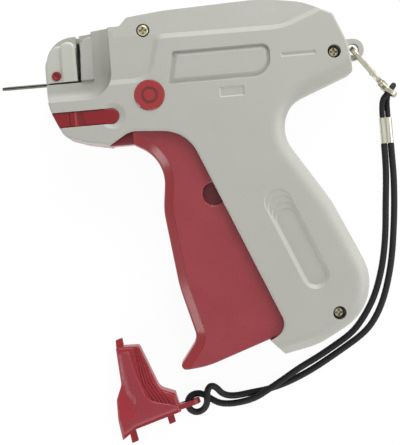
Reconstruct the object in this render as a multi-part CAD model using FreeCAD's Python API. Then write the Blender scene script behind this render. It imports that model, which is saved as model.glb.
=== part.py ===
"""Garment tag attacher: a hand gun that shoots plastic tag fasteners through a slotted needle.

The gun lies on its right side. X runs from the needle (-X) to the back of the body, Y from the foot
of the handle up to the top of the body, and Z across the hand, from the resting plane at z = 0.
The origin is where the axis of the trigger's hinge pin meets that plane. Lengths are in mm.
"""
import FreeCAD, Part
import math
import os
from FreeCAD import Vector as V

# ---- both shells together
THICK = 28.0              # across the hand
SPLIT = THICK / 2         # parting plane of the two shells
WALL = 2.4                # shell wall
BACK_ROUND = 6.4          # rounding of the handle's back and the neck
EDGE_ROUND = 1.0          # rounding of the other outer edges
FIELD_DEPTH = 0.8         # step from the side down to the front and top field
FIELD_SOFT = 2.1          # width of that step
FIELD_DROP = 6.0          # slope of the field towards the top of the body, degrees
GAP = 0.4                 # between parts that move past each other
FIT = 0.05                # radial clearance of a pin in its bore

# Outline of the body, nose and handle: x, y and the radius of each corner.
HOUSING = [
    (-99.9, 136.1, 12.0), (-86.0, 135.8, 4.0), (-75.5, 136.9, 8.0), (-66.8, 136.9, 2.5),
    (-63.6, 140.4, 2.5), (-48.0, 142.0, 60.0), (-6.0, 143.4, 60.0), (10.5, 140.6, 30.0),
    (23.2, 134.8, 3.0), (28.6, 121.5, 25.0), (30.0, 109.6, 0.0), (-8.1, 95.0, 15.0),
    (16.5, 56.0, 45.0), (36.0, 11.8, 22.5), (6.0, -4.2, 35.0), (-8.6, -7.1, 0.0),
    (-14.6, -0.6, 0.0), (-6.6, 3.4, 6.5), (-42.3, 90.5, 16.0), (-66.0, 92.6, 10.0),
    (-75.0, 87.2, 0.0), (-85.0, 89.2, 20.0), (-93.6, 92.2, 6.0), (-98.6, 103.5, 25.0),
    (-99.9, 110.0, 12.0),
]

# Outline of the lower field that runs in front of the body's side and along its top.
FIELD = [
    (-80.0, 112.4), (-55.4, 112.4, 9.0), (-50.6, 130.1, 1.6), (1.8, 129.7, 30.0), (30.0, 140.5),
    (30.0, 150.0), (-80.0, 150.0),
]

# Bare name panel on the side, a bar-shaped recess behind it and a small one below it.
PANEL = [(-48.4, 110.6, 0.4), (-4.8, 110.6, 7.5), (-4.4, 124.4, 3.5), (-45.4, 124.4, 0.6)]
PANEL_DEPTH = 0.7
PANEL_GROOVE = 0.6        # width and extra depth of the groove along its edge
PANEL_RISE = 1.8          # width of the slant from the groove up to the panel
BAR = [(0.0, 118.0), (14.8, 118.0), (14.8, 119.9), (0.0, 119.9)]
LABEL = [(-27.0, 103.3), (-16.5, 103.3), (-16.5, 107.7), (-27.0, 107.7)]
MARK_DEPTH = 0.45         # of the bar and the small recess
MARK_SLANT = 0.5          # width of their walls

# ---- squeeze drive: toothed sector on the trigger, toothed lever, carriage with the pusher rod
MODULE = 2.0
PRESSURE = math.radians(25.0)
BACKLASH = 0.3            # along the pitch circle, shared by both gears
SECTOR_TEETH = 56         # teeth that the trigger's sector would have on a full circle
LEVER_TEETH = 14
SQUEEZE = 11.5            # trigger travel, degrees
LEVER_X = -8.0
CENTRES = MODULE * (SECTOR_TEETH + LEVER_TEETH) / 2
LEVER_Y = math.sqrt(CENTRES ** 2 - LEVER_X ** 2)
SWING = SQUEEZE * SECTOR_TEETH / LEVER_TEETH
PIN_Y = 114.0             # height of the carriage pin
ARM = PIN_Y - LEVER_Y
STROKE = 2 * ARM * math.tan(math.radians(SWING / 2))
PIN_X = LEVER_X + STROKE / 2
LEVER_T = 4.0             # thickness of the lever and of the trigger's web
LEVER_HUB_R = 6.0
LEVER_PIN_R = 1.5
SLIDER_PIN_R = 1.75
SLOT_PLAY = 0.55          # side play of the carriage pin in the lever's slot
HEAD_WALL = 1.9           # metal round the slot
SLIDER_W = 11.0           # carriage, across the hand
SLIDER_CHEEK = 2.5
SLIDER_Y0 = 108.0
SLIDER_Y1 = 120.0
SLIDER_NECK = 114.3       # underside of the blocks that join the cheeks

# ---- trigger
TRIGGER_W = 22.0          # across the hand
TRIGGER_WALL = 2.0
TRIGGER_BEVEL = 4.0       # bevel along the finger edge
TRIGGER_ROUND = 2.0       # rounding between the bevel and the finger side
TRIGGER_CUP = (-33.0, 63.2)     # round recess in the near cheek
TRIGGER_CUP_R = 4.9
TRIGGER_CUP_DEPTH = 5.0
TRIGGER_CUP_WALL = 1.1
TIP_ROUND = 1.7           # lowest corner of the trigger
PIVOT_R = 2.0
EYE_R = 3.9
EYE_SIDE = 5.6            # distance of the eye's faces from the outer sides of the shells
TONGUE_W = 10.0
TRIGGER = [
    (-65.0, 94.5, 0.0), (-65.0, 87.0, 0.0), (-52.1, 79.6, 17.0), (-54.9, 58.0, 30.0),
    (-51.0, 25.0, 60.0), (-45.2, 2.6, 7.0), (-54.9, -10.3, 0.0), (-42.0, -9.2, 40.0),
    (-11.6, 1.05, 0.5), (0.0, -2.5, 0.0), (3.3, 2.5, 0.0), (-4.4, 11.0, 4.0), (-35.6, 88.0, 6.0),
    (-44.0, 94.5, 5.0),
]

# ---- nose: needle, guide block, feed
ROD_Y = 116.0             # axis of needle and pusher rod
ROD_R = 0.48
NEEDLE_R = 0.8
NEEDLE_BORE = 0.56
NEEDLE_TIP = -119.6
NEEDLE_END = -88.0
NEEDLE_SLOT = 0.5
CHANNEL_R = 0.9           # way of the needle and the rod through ribs
FLOOR_Z = 20.5            # floor of the pocket in the left side of the nose
FLOOR_T = 2.5
POCKET_X = -71.7
POCKET_Y = 107.2
POCKET_R = 11.0
POCKET_FILLET = 5.0
FEED_X0 = -86.5           # feed slot for the strip of tags
FEED_X1 = -85.0
FEED_Z0 = 8.0             # its end in the right shell
GROOVE_Y0 = ROD_Y - 0.7   # needle groove
GROOVE_Y1 = ROD_Y + 0.1
BLOCK_Z = 20.8            # outer face of the guide block
BLOCK_STEP = 0.9          # its front lobe lies lower
BLOCK_ROUND = 1.3
# Outlines of its two lobes.
BLOCK_FRONT = [
    (-100.1, GROOVE_Y1), (-100.1, 124.4, 8.0), (-95.8, 131.8, 3.5), (-91.4, 131.8, 2.0),
    (-91.4, GROOVE_Y1),
]
BLOCK_REAR = [
    (-93.3, GROOVE_Y1), (-93.3, 133.1, 3.0), (FEED_X0, 133.1, 3.0), (FEED_X0, GROOVE_Y1),
]
PAD_Z = 21.4              # top of the pad behind the feed slot
PAD_WALL = 1.5
# Outline of the pad and of the near wall behind the feed slot.
PAD = [
    (FEED_X1 - 0.1, GROOVE_Y1), (-84.1, 134.2, 5.0), (-79.1, 134.4), (POCKET_X, 136.7),
    (POCKET_X, GROOVE_Y1),
]
PAD_END = -79.4
BLOCK_PIN = (-95.4, 118.9)
BLOCK_PIN_R = 1.9
WHEEL = (-78.8, 122.5)
WHEEL_TEETH = 12
WHEEL_R = 6.2
WHEEL_ROOT = 4.4
WHEEL_T = 3.0
WHEEL_Z = 9.5
WHEEL_SHAFT_R = 1.5
ROCKER_Z = 15.3
ROCKER_T = 2.0
ROCKER_END = (-65.5, 98.0)

# ---- lock slide and badge on the left side of the nose
LOCK_Y = 99.45
LOCK_R = 3.15
LOCK_X = -73.2
BADGE = (-56.5, 106.8)
BADGE_R = 6.35
BADGE_SEAT = 1.2

# ---- screws: x, y, and the height of the seat under the head
SCREWS = [(-57.0, 134.2, 25.3), (22.5, 118.5, 22.4), (15.3, 8.6, 21.0)]
SCREW_LENGTH = 14.0
SCREW_R = 1.45
HEAD_R = 2.35
HEAD_H = 1.9
COUNTERBORE_R = 2.85
BOSS_R = 4.2

# ---- strap
EYELET = (32.0, 120.0)
EYELET_R = 4.7
EYELET_HOLE = 2.5
EYELET_T = 4.0
HOOK_T = 2.3
HOOK_TILT = 15.0
HOOK_HEADING = (0.622, -0.783)
HOOK_ROLL = 9.0
HOOK_STEM = 18.2          # from the eyelet's centre to the root of the stem, along the hook
HOOK_EYE = 6.5            # from there to the centre of the swivel eye
EYE_LIFT = 1.0            # height of that centre above the stem's axis
RING_HEADING = (0.8, -0.6)
CORD_R = 1.45
LOOP_R = 1.2
FERRULE = (44.9, 84.7)
FERRULE_W = 5.6
FERRULE_L = 11.2
FERRULE_H = 3.6

# ---- needle cap
CAP_H = 13.6              # height of the smooth ridge
CAP_SIDE_H = 11.8         # height of the grooved side
CAP_WALL = 1.5
CAP_EYE_T = 2.2
GROOVES = 5


# ======== shapes used throughout
def rounded(points, z=0.0):
    """Closed wire of straight sides and tangent arcs through corners given as x, y, radius."""
    count = len(points)
    corners = []
    for i in range(count):
        corner = V(points[i][0], points[i][1], z)
        back = (V(points[i - 1][0], points[i - 1][1], z) - corner).normalize()
        ahead = (V(points[(i + 1) % count][0], points[(i + 1) % count][1], z) - corner).normalize()
        radius = points[i][2] if len(points[i]) > 2 else 0.0
        if radius == 0:
            corners.append((corner, corner, corner, radius))
            continue
        half = back.getAngle(ahead) / 2
        reach = radius / math.tan(half)
        middle = corner + (back + ahead).normalize() * (radius / math.sin(half) - radius)
        corners.append((corner + back * reach, middle, corner + ahead * reach, radius))
    edges = []
    for i in range(count):
        start, middle, end, radius = corners[i]
        if radius > 0:
            edges.append(Part.Arc(start, middle, end).toShape())
        following = corners[(i + 1) % count][0]
        if (following - end).Length > 1e-6:
            edges.append(Part.LineSegment(end, following).toShape())
    return Part.Wire(edges)


def drawn_in(points, inset):
    """Outline given anticlockwise as x, y, radius, with all its sides moved inwards."""
    count = len(points)
    corners = []
    for i in range(count):
        corner = V(points[i][0], points[i][1], 0)
        before = (corner - V(points[i - 1][0], points[i - 1][1], 0)).normalize()
        after = (V(points[(i + 1) % count][0], points[(i + 1) % count][1], 0) - corner).normalize()
        sides = V(-before.y, before.x, 0) + V(-after.y, after.x, 0)
        corner = corner + sides * (inset / (1 + before.dot(after)))
        radius = points[i][2] if len(points[i]) > 2 else 0.0
        if radius > 0:
            radius = max(radius - math.copysign(inset, before.cross(after).z), 0.0)
        corners.append((corner.x, corner.y, radius))
    return corners


def plate(points, z0, z1):
    """Flat plate between two heights, with a rounded outline."""
    return Part.Face(rounded(points, z0)).extrude(V(0, 0, z1 - z0))


def inset_plate(points, inset, z0, z1):
    """The same plate with its outline moved inwards."""
    return Part.Face(rounded(points, z0).makeOffset2D(-inset)).extrude(V(0, 0, z1 - z0))


def box(x0, x1, y0, y1, z0, z1):
    return Part.makeBox(x1 - x0, y1 - y0, z1 - z0, V(x0, y0, z0))


def peg(place, radius, z0, z1):
    return Part.makeCylinder(radius, z1 - z0, V(place[0], place[1], z0))


def bar_x(x0, x1, y, z, radius):
    """Round bar along X."""
    return Part.makeCylinder(radius, x1 - x0, V(x0, y, z), V(1, 0, 0))


def oblong(a, b, radius, z):
    """Wire of two parallel sides and two half-round ends, about the centres a and b."""
    along = (V(b[0], b[1], 0) - V(a[0], a[1], 0)).normalize()
    side = V(-along.y, along.x, 0) * radius
    tip = along * radius
    a = V(a[0], a[1], z)
    b = V(b[0], b[1], z)
    return Part.Wire([
        Part.LineSegment(a + side, b + side).toShape(), Part.Arc(b + side, b + tip, b - side).toShape(),
        Part.LineSegment(b - side, a - side).toShape(), Part.Arc(a - side, a - tip, a + side).toShape(),
    ])


def obround(a, b, radius, z0, z1):
    """Plate with that outline."""
    return Part.Face(oblong(a, b, radius, z0)).extrude(V(0, 0, z1 - z0))


def slope(start, end, drop, z):
    """All that lies above a plane through start and end at height z, which falls to their left."""
    reach = 200.0
    start = V(start[0], start[1], z)
    along = (V(end[0], end[1], z) - start).normalize()
    left = V(-along.y, along.x, 0)
    down = left * math.cos(math.radians(drop)) - V(0, 0, math.sin(math.radians(drop)))
    corner = start - along * reach
    face = Part.Face(Part.makePolygon([
        corner, corner + along * 2 * reach, corner + along * 2 * reach + down * reach,
        corner + down * reach, corner,
    ]))
    return face.extrude(along.cross(down) * reach / 4)


def nearest_edge(shape, point):
    vertex = Part.Vertex(V(*point))
    return min(shape.Edges, key=lambda edge: edge.distToShape(vertex)[0])


def turned(shape, centre, degrees):
    """The shape turned about an upright axis."""
    copy = shape.copy()
    copy.rotate(V(centre[0], centre[1], 0), V(0, 0, 1), degrees)
    return copy


def mirrored(shape):
    """The shape reflected in the parting plane, for the other half."""
    return shape.mirror(V(0, 0, SPLIT), V(0, 0, 1))


def fused(first, *others):
    return first.fuse(list(others)).removeSplitter()


def polar(centre, radius, degrees):
    angle = math.radians(degrees)
    return (centre[0] + radius * math.cos(angle), centre[1] + radius * math.sin(angle))


def pie(centre, radius, start, end, z0, z1):
    """Slice of a disc between two directions in degrees."""
    a = V(*polar(centre, radius, start), z0)
    middle = V(*polar(centre, radius, (start + end) / 2), z0)
    b = V(*polar(centre, radius, end), z0)
    hub = V(centre[0], centre[1], z0)
    wire = Part.Wire([
        Part.LineSegment(hub, a).toShape(), Part.Arc(a, middle, b).toShape(),
        Part.LineSegment(b, hub).toShape(),
    ])
    return Part.Face(wire).extrude(V(0, 0, z1 - z0))


# ======== gear teeth
def tooth(centre, teeth, degrees, z0, z1):
    """One involute tooth, centred on a direction, with its foot sunk in the rim."""
    pitch_r = MODULE * teeth / 2
    base_r = pitch_r * math.cos(PRESSURE)
    root_r = pitch_r - 1.25 * MODULE
    foot_r = max(base_r, root_r)
    tip_r = pitch_r + MODULE
    steps = 5

    def half_angle(radius):
        roll = math.acos(min(1.0, base_r / radius))
        thick = math.pi / (2 * teeth) - BACKLASH / (4 * pitch_r)
        return thick + (math.tan(PRESSURE) - PRESSURE) - (math.tan(roll) - roll)

    radii = [root_r - 0.5] + [foot_r + i * (tip_r - foot_r) / steps for i in range(steps + 1)]
    flank = [(radius, math.degrees(half_angle(max(radius, foot_r)))) for radius in radii]
    points = [polar(centre, radius, degrees + half) for radius, half in flank]
    points += [polar(centre, radius, degrees - half) for radius, half in reversed(flank)]
    return plate(points, z0, z1)


# ======== shells
def top_slope(z):
    """What the slope along the top takes off, from the foot of the step at height z."""
    foot = drawn_in(FIELD, FIELD_SOFT)
    cut = slope(foot[2], foot[3], FIELD_DROP, z)
    return cut.common(slope(foot[3], foot[4], FIELD_DROP, z))


def outer_half():
    """Outside of one half, from the parting plane up, with the back, the neck and all edges rounded."""
    half = plate(HOUSING, SPLIT, THICK)
    half = half.makeFillet(BACK_ROUND, [nearest_edge(half, (29.5, 20, THICK))])
    half = half.makeFillet(EDGE_ROUND, [nearest_edge(half, (-99.9, 116, THICK))])
    opening = [nearest_edge(half, (-23.7, 45.2, THICK)), nearest_edge(half, (-71.9, 89.1, THICK))]
    half = half.makeFillet(EDGE_ROUND, opening)
    return half.cut(top_slope(THICK - FIELD_DEPTH))


def inner_half():
    """Hollow of one half. The floor of the nose lies lower than that of the body."""
    hollow = inset_plate(HOUSING, WALL, SPLIT, THICK - WALL)
    hollow = hollow.makeFillet(BACK_ROUND - WALL, [nearest_edge(hollow, (27.1, 20, THICK - WALL))])
    return hollow.cut(top_slope(THICK - FIELD_DEPTH - 1.1 * WALL))


def trigger_way():
    """What the rim leaves open for the trigger and its tongue, in one half."""
    way = plate([
        (-20.0, -2.3), (-11.5, 0.55), (-4.0, -2.0), (1.4, -1.2), (-4.5, 12.0), (-35.0, 92.0),
        (-45.0, 97.0), (-66.5, 97.0), (-75.5, 92.0), (-75.0, 80.0), (-60.0, 0.0),
    ], SPLIT, THICK - WALL)
    eye = peg((0, 0), EYE_R + GAP, SPLIT, THICK - EYE_SIDE + GAP)
    tongue = plate([
        (-74.0, 80.0), (-60.0, 80.0), (-60.0, 96.0), (-86.0, 96.0), (-92.2, 95.0), (-92.2, 85.0),
    ], SPLIT, SPLIT + TONGUE_W / 2 + GAP)
    return way.fuse([eye, tongue])


def lever_boss():
    return peg((LEVER_X, LEVER_Y), 3.4, SPLIT + LEVER_T / 2 + 0.3, THICK - WALL + 0.5)


def rails():
    """Two ribs that the carriage runs between."""
    low = box(-46.0, 17.0, SLIDER_Y0 - GAP - 1.3, SLIDER_Y0 - GAP, SPLIT + 2.7, THICK - WALL + 0.5)
    high = box(-46.0, 17.0, SLIDER_Y1 + GAP, SLIDER_Y1 + GAP + 1.3, SPLIT + 2.7, THICK - WALL + 0.5)
    return [low, high]


def grip_recess():
    """Finger grip: a long pocket with slanting walls and four steps at its upper end."""
    low = (6.6, 25.4)
    steps = 4
    depth = 0.32
    width = 0.45
    cut = None
    for i in range(steps):
        high = polar(low, 34.5 - 2.6 * i, 112.4)
        foot = oblong(low, high, 5.9 - width * (i + 1), THICK - depth * (i + 1))
        rim = oblong(low, high, 5.9 + width, THICK + depth)
        step = Part.makeLoft([foot, rim], True, True)
        cut = step if cut is None else cut.fuse(step)
    return cut


def bare_half():
    """What both halves share."""
    half = outer_half().cut(inner_half())
    half = half.cut(trigger_way())
    half = half.cut(grip_recess())
    posts = [peg(screw, BOSS_R, SPLIT, THICK - WALL + 0.2) for screw in SCREWS[1:]]
    half = fused(half, lever_boss(), *rails(), *posts)
    half = half.cut(peg((LEVER_X, LEVER_Y), LEVER_PIN_R + FIT, SPLIT, THICK - WALL))
    return half.cut(peg((0, 0), PIVOT_R + FIT, SPLIT, THICK - 1.1))


def nose_pocket(extra):
    """Pocket in the left side of the nose, with a hollow fillet along its foot; extra grows it."""
    cut = plate([
        (-125.0, POCKET_Y - extra), (POCKET_X + extra, POCKET_Y - extra, POCKET_R + extra),
        (POCKET_X + extra, 150.0), (-125.0, 150.0),
    ], FLOOR_Z - extra, THICK + 2)
    foot = [nearest_edge(cut, (-90.0, POCKET_Y - extra, FLOOR_Z - extra))]
    return cut.makeFillet(POCKET_FILLET + extra / 2, foot)


def sunk(points, depth, slant):
    """Recess in the side with slanting walls, given its outline, its depth and the walls' width."""
    foot = rounded(drawn_in(points, slant), THICK - depth)
    walls = Part.makeLoft([rounded(points, THICK), foot], True, True)
    return walls.fuse(plate(points, THICK, THICK + 1))


def panel_recess():
    """Sunk panel that rises from a groove along its edge."""
    low = THICK - PANEL_DEPTH - PANEL_GROOVE
    foot = rounded(drawn_in(PANEL, PANEL_GROOVE), low)
    rise = rounded(drawn_in(PANEL, PANEL_GROOVE + PANEL_RISE), THICK - PANEL_DEPTH)
    return plate(PANEL, low, THICK + 1).cut(Part.makeLoft([foot, rise], True, True))


def lock_slot():
    """Slot of the lock slide, open to the front of the nose."""
    return obround((LOCK_X - 40, LOCK_Y), (LOCK_X, LOCK_Y), LOCK_R + 0.15, THICK - WALL - 2, THICK + 1)


def thumb_dish():
    rim = 5.5
    depth = 1.2
    radius = (rim ** 2 + depth ** 2) / (2 * depth)
    return Part.makeSphere(radius, V(LOCK_X + 0.7, LOCK_Y, THICK + radius - depth))


def pad_wall():
    """Near wall of the nose behind the feed slot, which follows the pad's round corner."""
    wall = plate(PAD, SPLIT, FLOOR_Z).cut(plate(drawn_in(PAD[::-1], PAD_WALL), SPLIT, FLOOR_Z))
    return wall.common(box(FEED_X1 - 1, PAD_END + 1, 128.0, 140.0, SPLIT, FLOOR_Z))


def left_housing():
    half = bare_half()
    roof = nose_pocket(FLOOR_T).common(plate(HOUSING, SPLIT, THICK - 0.5))
    roof = roof.common(inset_plate(HOUSING, WALL / 2, SPLIT, THICK))
    half = half.fuse(roof)
    half = half.cut(nose_pocket(0.0))
    half = half.cut(sunk(FIELD, FIELD_DEPTH, FIELD_SOFT))
    half = half.cut(panel_recess())
    half = half.cut(sunk(BAR, MARK_DEPTH, MARK_SLANT))
    half = half.cut(sunk(LABEL, MARK_DEPTH, MARK_SLANT))
    half = half.cut(thumb_dish())
    half = half.cut(lock_slot())
    half = half.cut(peg(BADGE, BADGE_R + 0.1, THICK - BADGE_SEAT, THICK + 1))
    half = half.cut(box(-125.0, FEED_X1, GROOVE_Y0, 150.0, SPLIT - 1, THICK + 1))
    beyond = box(FEED_X1 - 1, PAD_END, GROOVE_Y1, 150.0, SPLIT - 1, THICK + 1)
    half = half.cut(beyond.cut(plate(PAD, SPLIT - 2, THICK + 2)))
    front_post = peg(SCREWS[0], BOSS_R, 20.0, THICK - WALL)
    pad = plate(PAD, FLOOR_Z - 0.5, PAD_Z)
    pad = pad.common(box(FEED_X1 - 1, PAD_END, 110.0, 150.0, FLOOR_Z - 0.5, PAD_Z))
    pad = pad.makeFillet(0.7, [nearest_edge(pad, (FEED_X1, GROOVE_Y1 + 5, PAD_Z))])
    half = fused(half, front_post, pad, pad_wall())
    for x, y, seat in SCREWS:
        half = half.cut(peg((x, y), COUNTERBORE_R, seat, THICK + 1))
        half = half.cut(peg((x, y), SCREW_R + 0.15, SPLIT - 1, seat))
    half = half.cut(bar_x(-130, FEED_X1, ROD_Y, SPLIT, CHANNEL_R))
    return half.cut(bar_x(FEED_X1 - 1, -60, ROD_Y, SPLIT, CHANNEL_R))


def right_housing():
    half = mirrored(bare_half())
    posts = [
        peg(SCREWS[0], BOSS_R, WALL - 0.2, 20.0),
        peg(BLOCK_PIN, 3.4, WALL - 0.2, SPLIT),
        peg(WHEEL, 3.0, WALL - 0.2, WHEEL_Z - 0.3),
        box(-92.2, -86.8, ROD_Y - 3.7, ROD_Y + 2.7, WALL - 0.2, 7.4),
        box(FEED_X0 - 1.7, FEED_X0, 120.0, 133.5, WALL - 0.2, SPLIT),
        box(FEED_X1, FEED_X1 + 1.6, 129.6, 133.5, WALL - 0.2, SPLIT),
        box(-56.4, -48.0, ROD_Y - 5.0, ROD_Y + 5.0, WALL - 0.2, 9.9),
        box(22.4, 24.6, 24.5, 31.6, WALL - 0.2, SPLIT + 3.0),
        bar_x(20.2, 22.6, 30.0, SPLIT, 2.7),
    ]
    eyelet = peg(EYELET, EYELET_R, SPLIT - EYELET_T, SPLIT)
    eyelet = eyelet.fuse(box(26.8, EYELET[0], EYELET[1] - EYELET_R, EYELET[1] + EYELET_R,
                             SPLIT - EYELET_T, SPLIT))
    half = fused(half, eyelet, *posts)
    half = half.cut(peg(EYELET, EYELET_HOLE, 0, THICK))
    half = half.cut(peg(BLOCK_PIN, BLOCK_PIN_R + FIT, 5.0, THICK))
    half = half.cut(peg(WHEEL, WHEEL_SHAFT_R + FIT, 3.4, THICK))
    half = half.cut(box(FEED_X0, FEED_X1, 129.0, 140.0, FEED_Z0, SPLIT + 1))
    for x, y, seat in SCREWS:
        half = half.cut(peg((x, y), SCREW_R + FIT, seat - SCREW_LENGTH - 0.5, THICK))
    return half.cut(bar_x(-130, -60, ROD_Y, SPLIT, CHANNEL_R))


# ======== nose
def front_guide_block():
    """Block with two round lobes, of which the front one is lower."""
    step = BLOCK_Z - BLOCK_STEP
    front = plate(BLOCK_FRONT, SPLIT, step)
    front = front.makeFillet(BLOCK_ROUND, [nearest_edge(front, (BLOCK_FRONT[0][0], GROOVE_Y1 + 3, step))])
    rear = plate(BLOCK_REAR, SPLIT, BLOCK_Z)
    rear = rear.makeFillet(BLOCK_ROUND, [nearest_edge(rear, (BLOCK_REAR[0][0], GROOVE_Y1 + 3, BLOCK_Z))])
    block = fused(front, rear)
    block = block.cut(peg(BLOCK_PIN, BLOCK_PIN_R + FIT, SPLIT - 1, THICK))
    return block.cut(bar_x(-130, -60, ROD_Y, SPLIT, CHANNEL_R))


def guide_block_pin():
    top = 20.3
    pin = peg(BLOCK_PIN, BLOCK_PIN_R, 5.1, top)
    return pin.cut(Part.makeCone(0.8, 1.2, 0.4, V(BLOCK_PIN[0], BLOCK_PIN[1], top - 0.4)))


def needle():
    """Thin tube, open along its near side for the tag's thread, with a slanted tip."""
    shank = bar_x(NEEDLE_TIP + 3.0, NEEDLE_END, ROD_Y, SPLIT, NEEDLE_R)
    point = Part.makeCone(0.66, NEEDLE_R, 3.0, V(NEEDLE_TIP, ROD_Y, SPLIT), V(1, 0, 0))
    tube = fused(shank, point).cut(bar_x(NEEDLE_TIP - 1, NEEDLE_END + 1, ROD_Y, SPLIT, NEEDLE_BORE))
    half = NEEDLE_SLOT / 2
    tube = tube.cut(box(NEEDLE_TIP - 1, NEEDLE_END + 1, ROD_Y - half, ROD_Y + half, SPLIT, SPLIT + 2))
    bevel = Part.makeBox(6, 4, 4, V(-6, -2, 0))
    bevel.rotate(V(0, 0, 0), V(0, 1, 0), -30)
    bevel.translate(V(NEEDLE_TIP, ROD_Y, SPLIT - 0.6))
    return tube.cut(bevel)


def needle_hub():
    hub = box(-92.0, -87.0, ROD_Y - 3.5, ROD_Y + 2.5, 7.4, SPLIT)
    hub = hub.cut(bar_x(-93, NEEDLE_END, ROD_Y, SPLIT, NEEDLE_R))
    return hub.cut(bar_x(NEEDLE_END, -86, ROD_Y, SPLIT, CHANNEL_R))


def needle_lock_slide():
    """Slide with a finger groove and an inner flange that keeps it in its slot."""
    top = THICK - 0.4
    slide = obround((LOCK_X - 30, LOCK_Y), (LOCK_X, LOCK_Y), LOCK_R, THICK - WALL - 0.4, top)
    slide = slide.makeFillet(0.5, [nearest_edge(slide, (LOCK_X + LOCK_R, LOCK_Y, top))])
    slide = slide.common(plate(HOUSING, 0, THICK))
    slide = slide.cut(Part.makeCylinder(3.4, 20, V(-86.4, LOCK_Y - 10, top + 2.6), V(0, 1, 0)))
    slide = slide.cut(box(-91.3, -90.5, LOCK_Y - 5, LOCK_Y + 5, top - 0.6, top + 1))
    flange = box(-86.4, -71.0, LOCK_Y - 4.6, LOCK_Y + 4.6, THICK - WALL - 1.9, THICK - WALL - GAP)
    return fused(slide, flange)


def lock_detent_spring():
    """Arched leaf under the flange of the lock slide."""
    low = THICK - WALL - 1.9
    leaf = box(-86.0, -74.0, LOCK_Y - 1.5, LOCK_Y + 1.5, low - 0.3, low)
    bow = Part.makeCylinder(3.0, 3.0, V(-80.0, LOCK_Y - 1.5, low + 2.0), V(0, 1, 0))
    bow = bow.cut(Part.makeCylinder(2.7, 3.0, V(-80.0, LOCK_Y - 1.5, low + 2.0), V(0, 1, 0)))
    bow = bow.cut(box(-90.0, -70.0, LOCK_Y - 5, LOCK_Y + 5, low - 0.3, low + 6))
    return fused(leaf, bow)


def type_badge():
    """Round disc with a raised rim and a plain ring in its middle."""
    base = THICK - BADGE_SEAT
    top = THICK + 0.4
    disc = peg(BADGE, BADGE_R, base, top)
    disc = disc.makeChamfer(0.3, [nearest_edge(disc, (BADGE[0] + BADGE_R, BADGE[1], top))])
    ring = peg(BADGE, 3.6, top - 0.35, top + 1).cut(peg(BADGE, 2.4, top - 1, top + 2))
    return disc.cut(ring)


# ======== feed
def feed_wheel():
    """Star wheel with saw-like teeth that catch the strip of tags."""
    points = []
    pitch = 360.0 / WHEEL_TEETH
    for i in range(WHEEL_TEETH):
        points.append(polar(WHEEL, WHEEL_ROOT, i * pitch))
        points.append(polar(WHEEL, WHEEL_R, i * pitch + 0.55 * pitch))
        points.append(polar(WHEEL, WHEEL_R, i * pitch + 0.70 * pitch))
    wheel = plate(points, WHEEL_Z, WHEEL_Z + WHEEL_T)
    return wheel.cut(peg(WHEEL, WHEEL_SHAFT_R + FIT, 0, THICK))


def feed_wheel_shaft():
    return peg(WHEEL, WHEEL_SHAFT_R, 3.4, FLOOR_Z - FLOOR_T)


def feed_rocker():
    """Rocker on the wheel's shaft: one arm down to the trigger, a short one with the pawl's peg."""
    top = ROCKER_Z + ROCKER_T
    hub = peg(WHEEL, 3.2, ROCKER_Z, top)
    arm = plate([
        (WHEEL[0] + 3.1, WHEEL[1] - 0.2), (ROCKER_END[0] + 1.2, ROCKER_END[1] + 0.6, 0.6),
        (ROCKER_END[0] + 0.4, ROCKER_END[1] - 1.3, 0.6), (ROCKER_END[0] - 1.5, ROCKER_END[1] - 0.6, 0.6),
        (WHEEL[0] - 2.6, WHEEL[1] - 1.8),
    ], ROCKER_Z, top)
    seat = polar(WHEEL, 8.6, 40)
    ear = obround(WHEEL, seat, 1.7, ROCKER_Z, top)
    post = peg(seat, 1.2, WHEEL_Z, ROCKER_Z + 0.5)
    rocker = fused(hub, arm, ear, post)
    return rocker.cut(peg(WHEEL, WHEEL_SHAFT_R + FIT, 0, THICK))


def feed_pawl():
    """Thin finger from the rocker's peg into a gap between two teeth."""
    seat = polar(WHEEL, 8.6, 40)
    tip = polar(WHEEL, 5.6, 65)
    start = polar(seat, 1.2, 150)
    return obround(start, tip, 0.2, WHEEL_Z + 0.3, WHEEL_Z + WHEEL_T - 0.3)


def check_spring():
    """Leaf on a foot that keeps the wheel from turning back."""
    foot = polar(WHEEL, 9.6, -28)
    tip = polar(WHEEL, 5.6, -55)
    block = box(foot[0] - 1.0, foot[0] + 1.4, foot[1] - 1.2, foot[1] + 1.2, WALL, WHEEL_Z + WHEEL_T)
    leaf = obround((foot[0] - 0.8, foot[1]), tip, 0.2, WHEEL_Z + 0.3, WHEEL_Z + WHEEL_T - 0.3)
    return fused(block, leaf)


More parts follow.
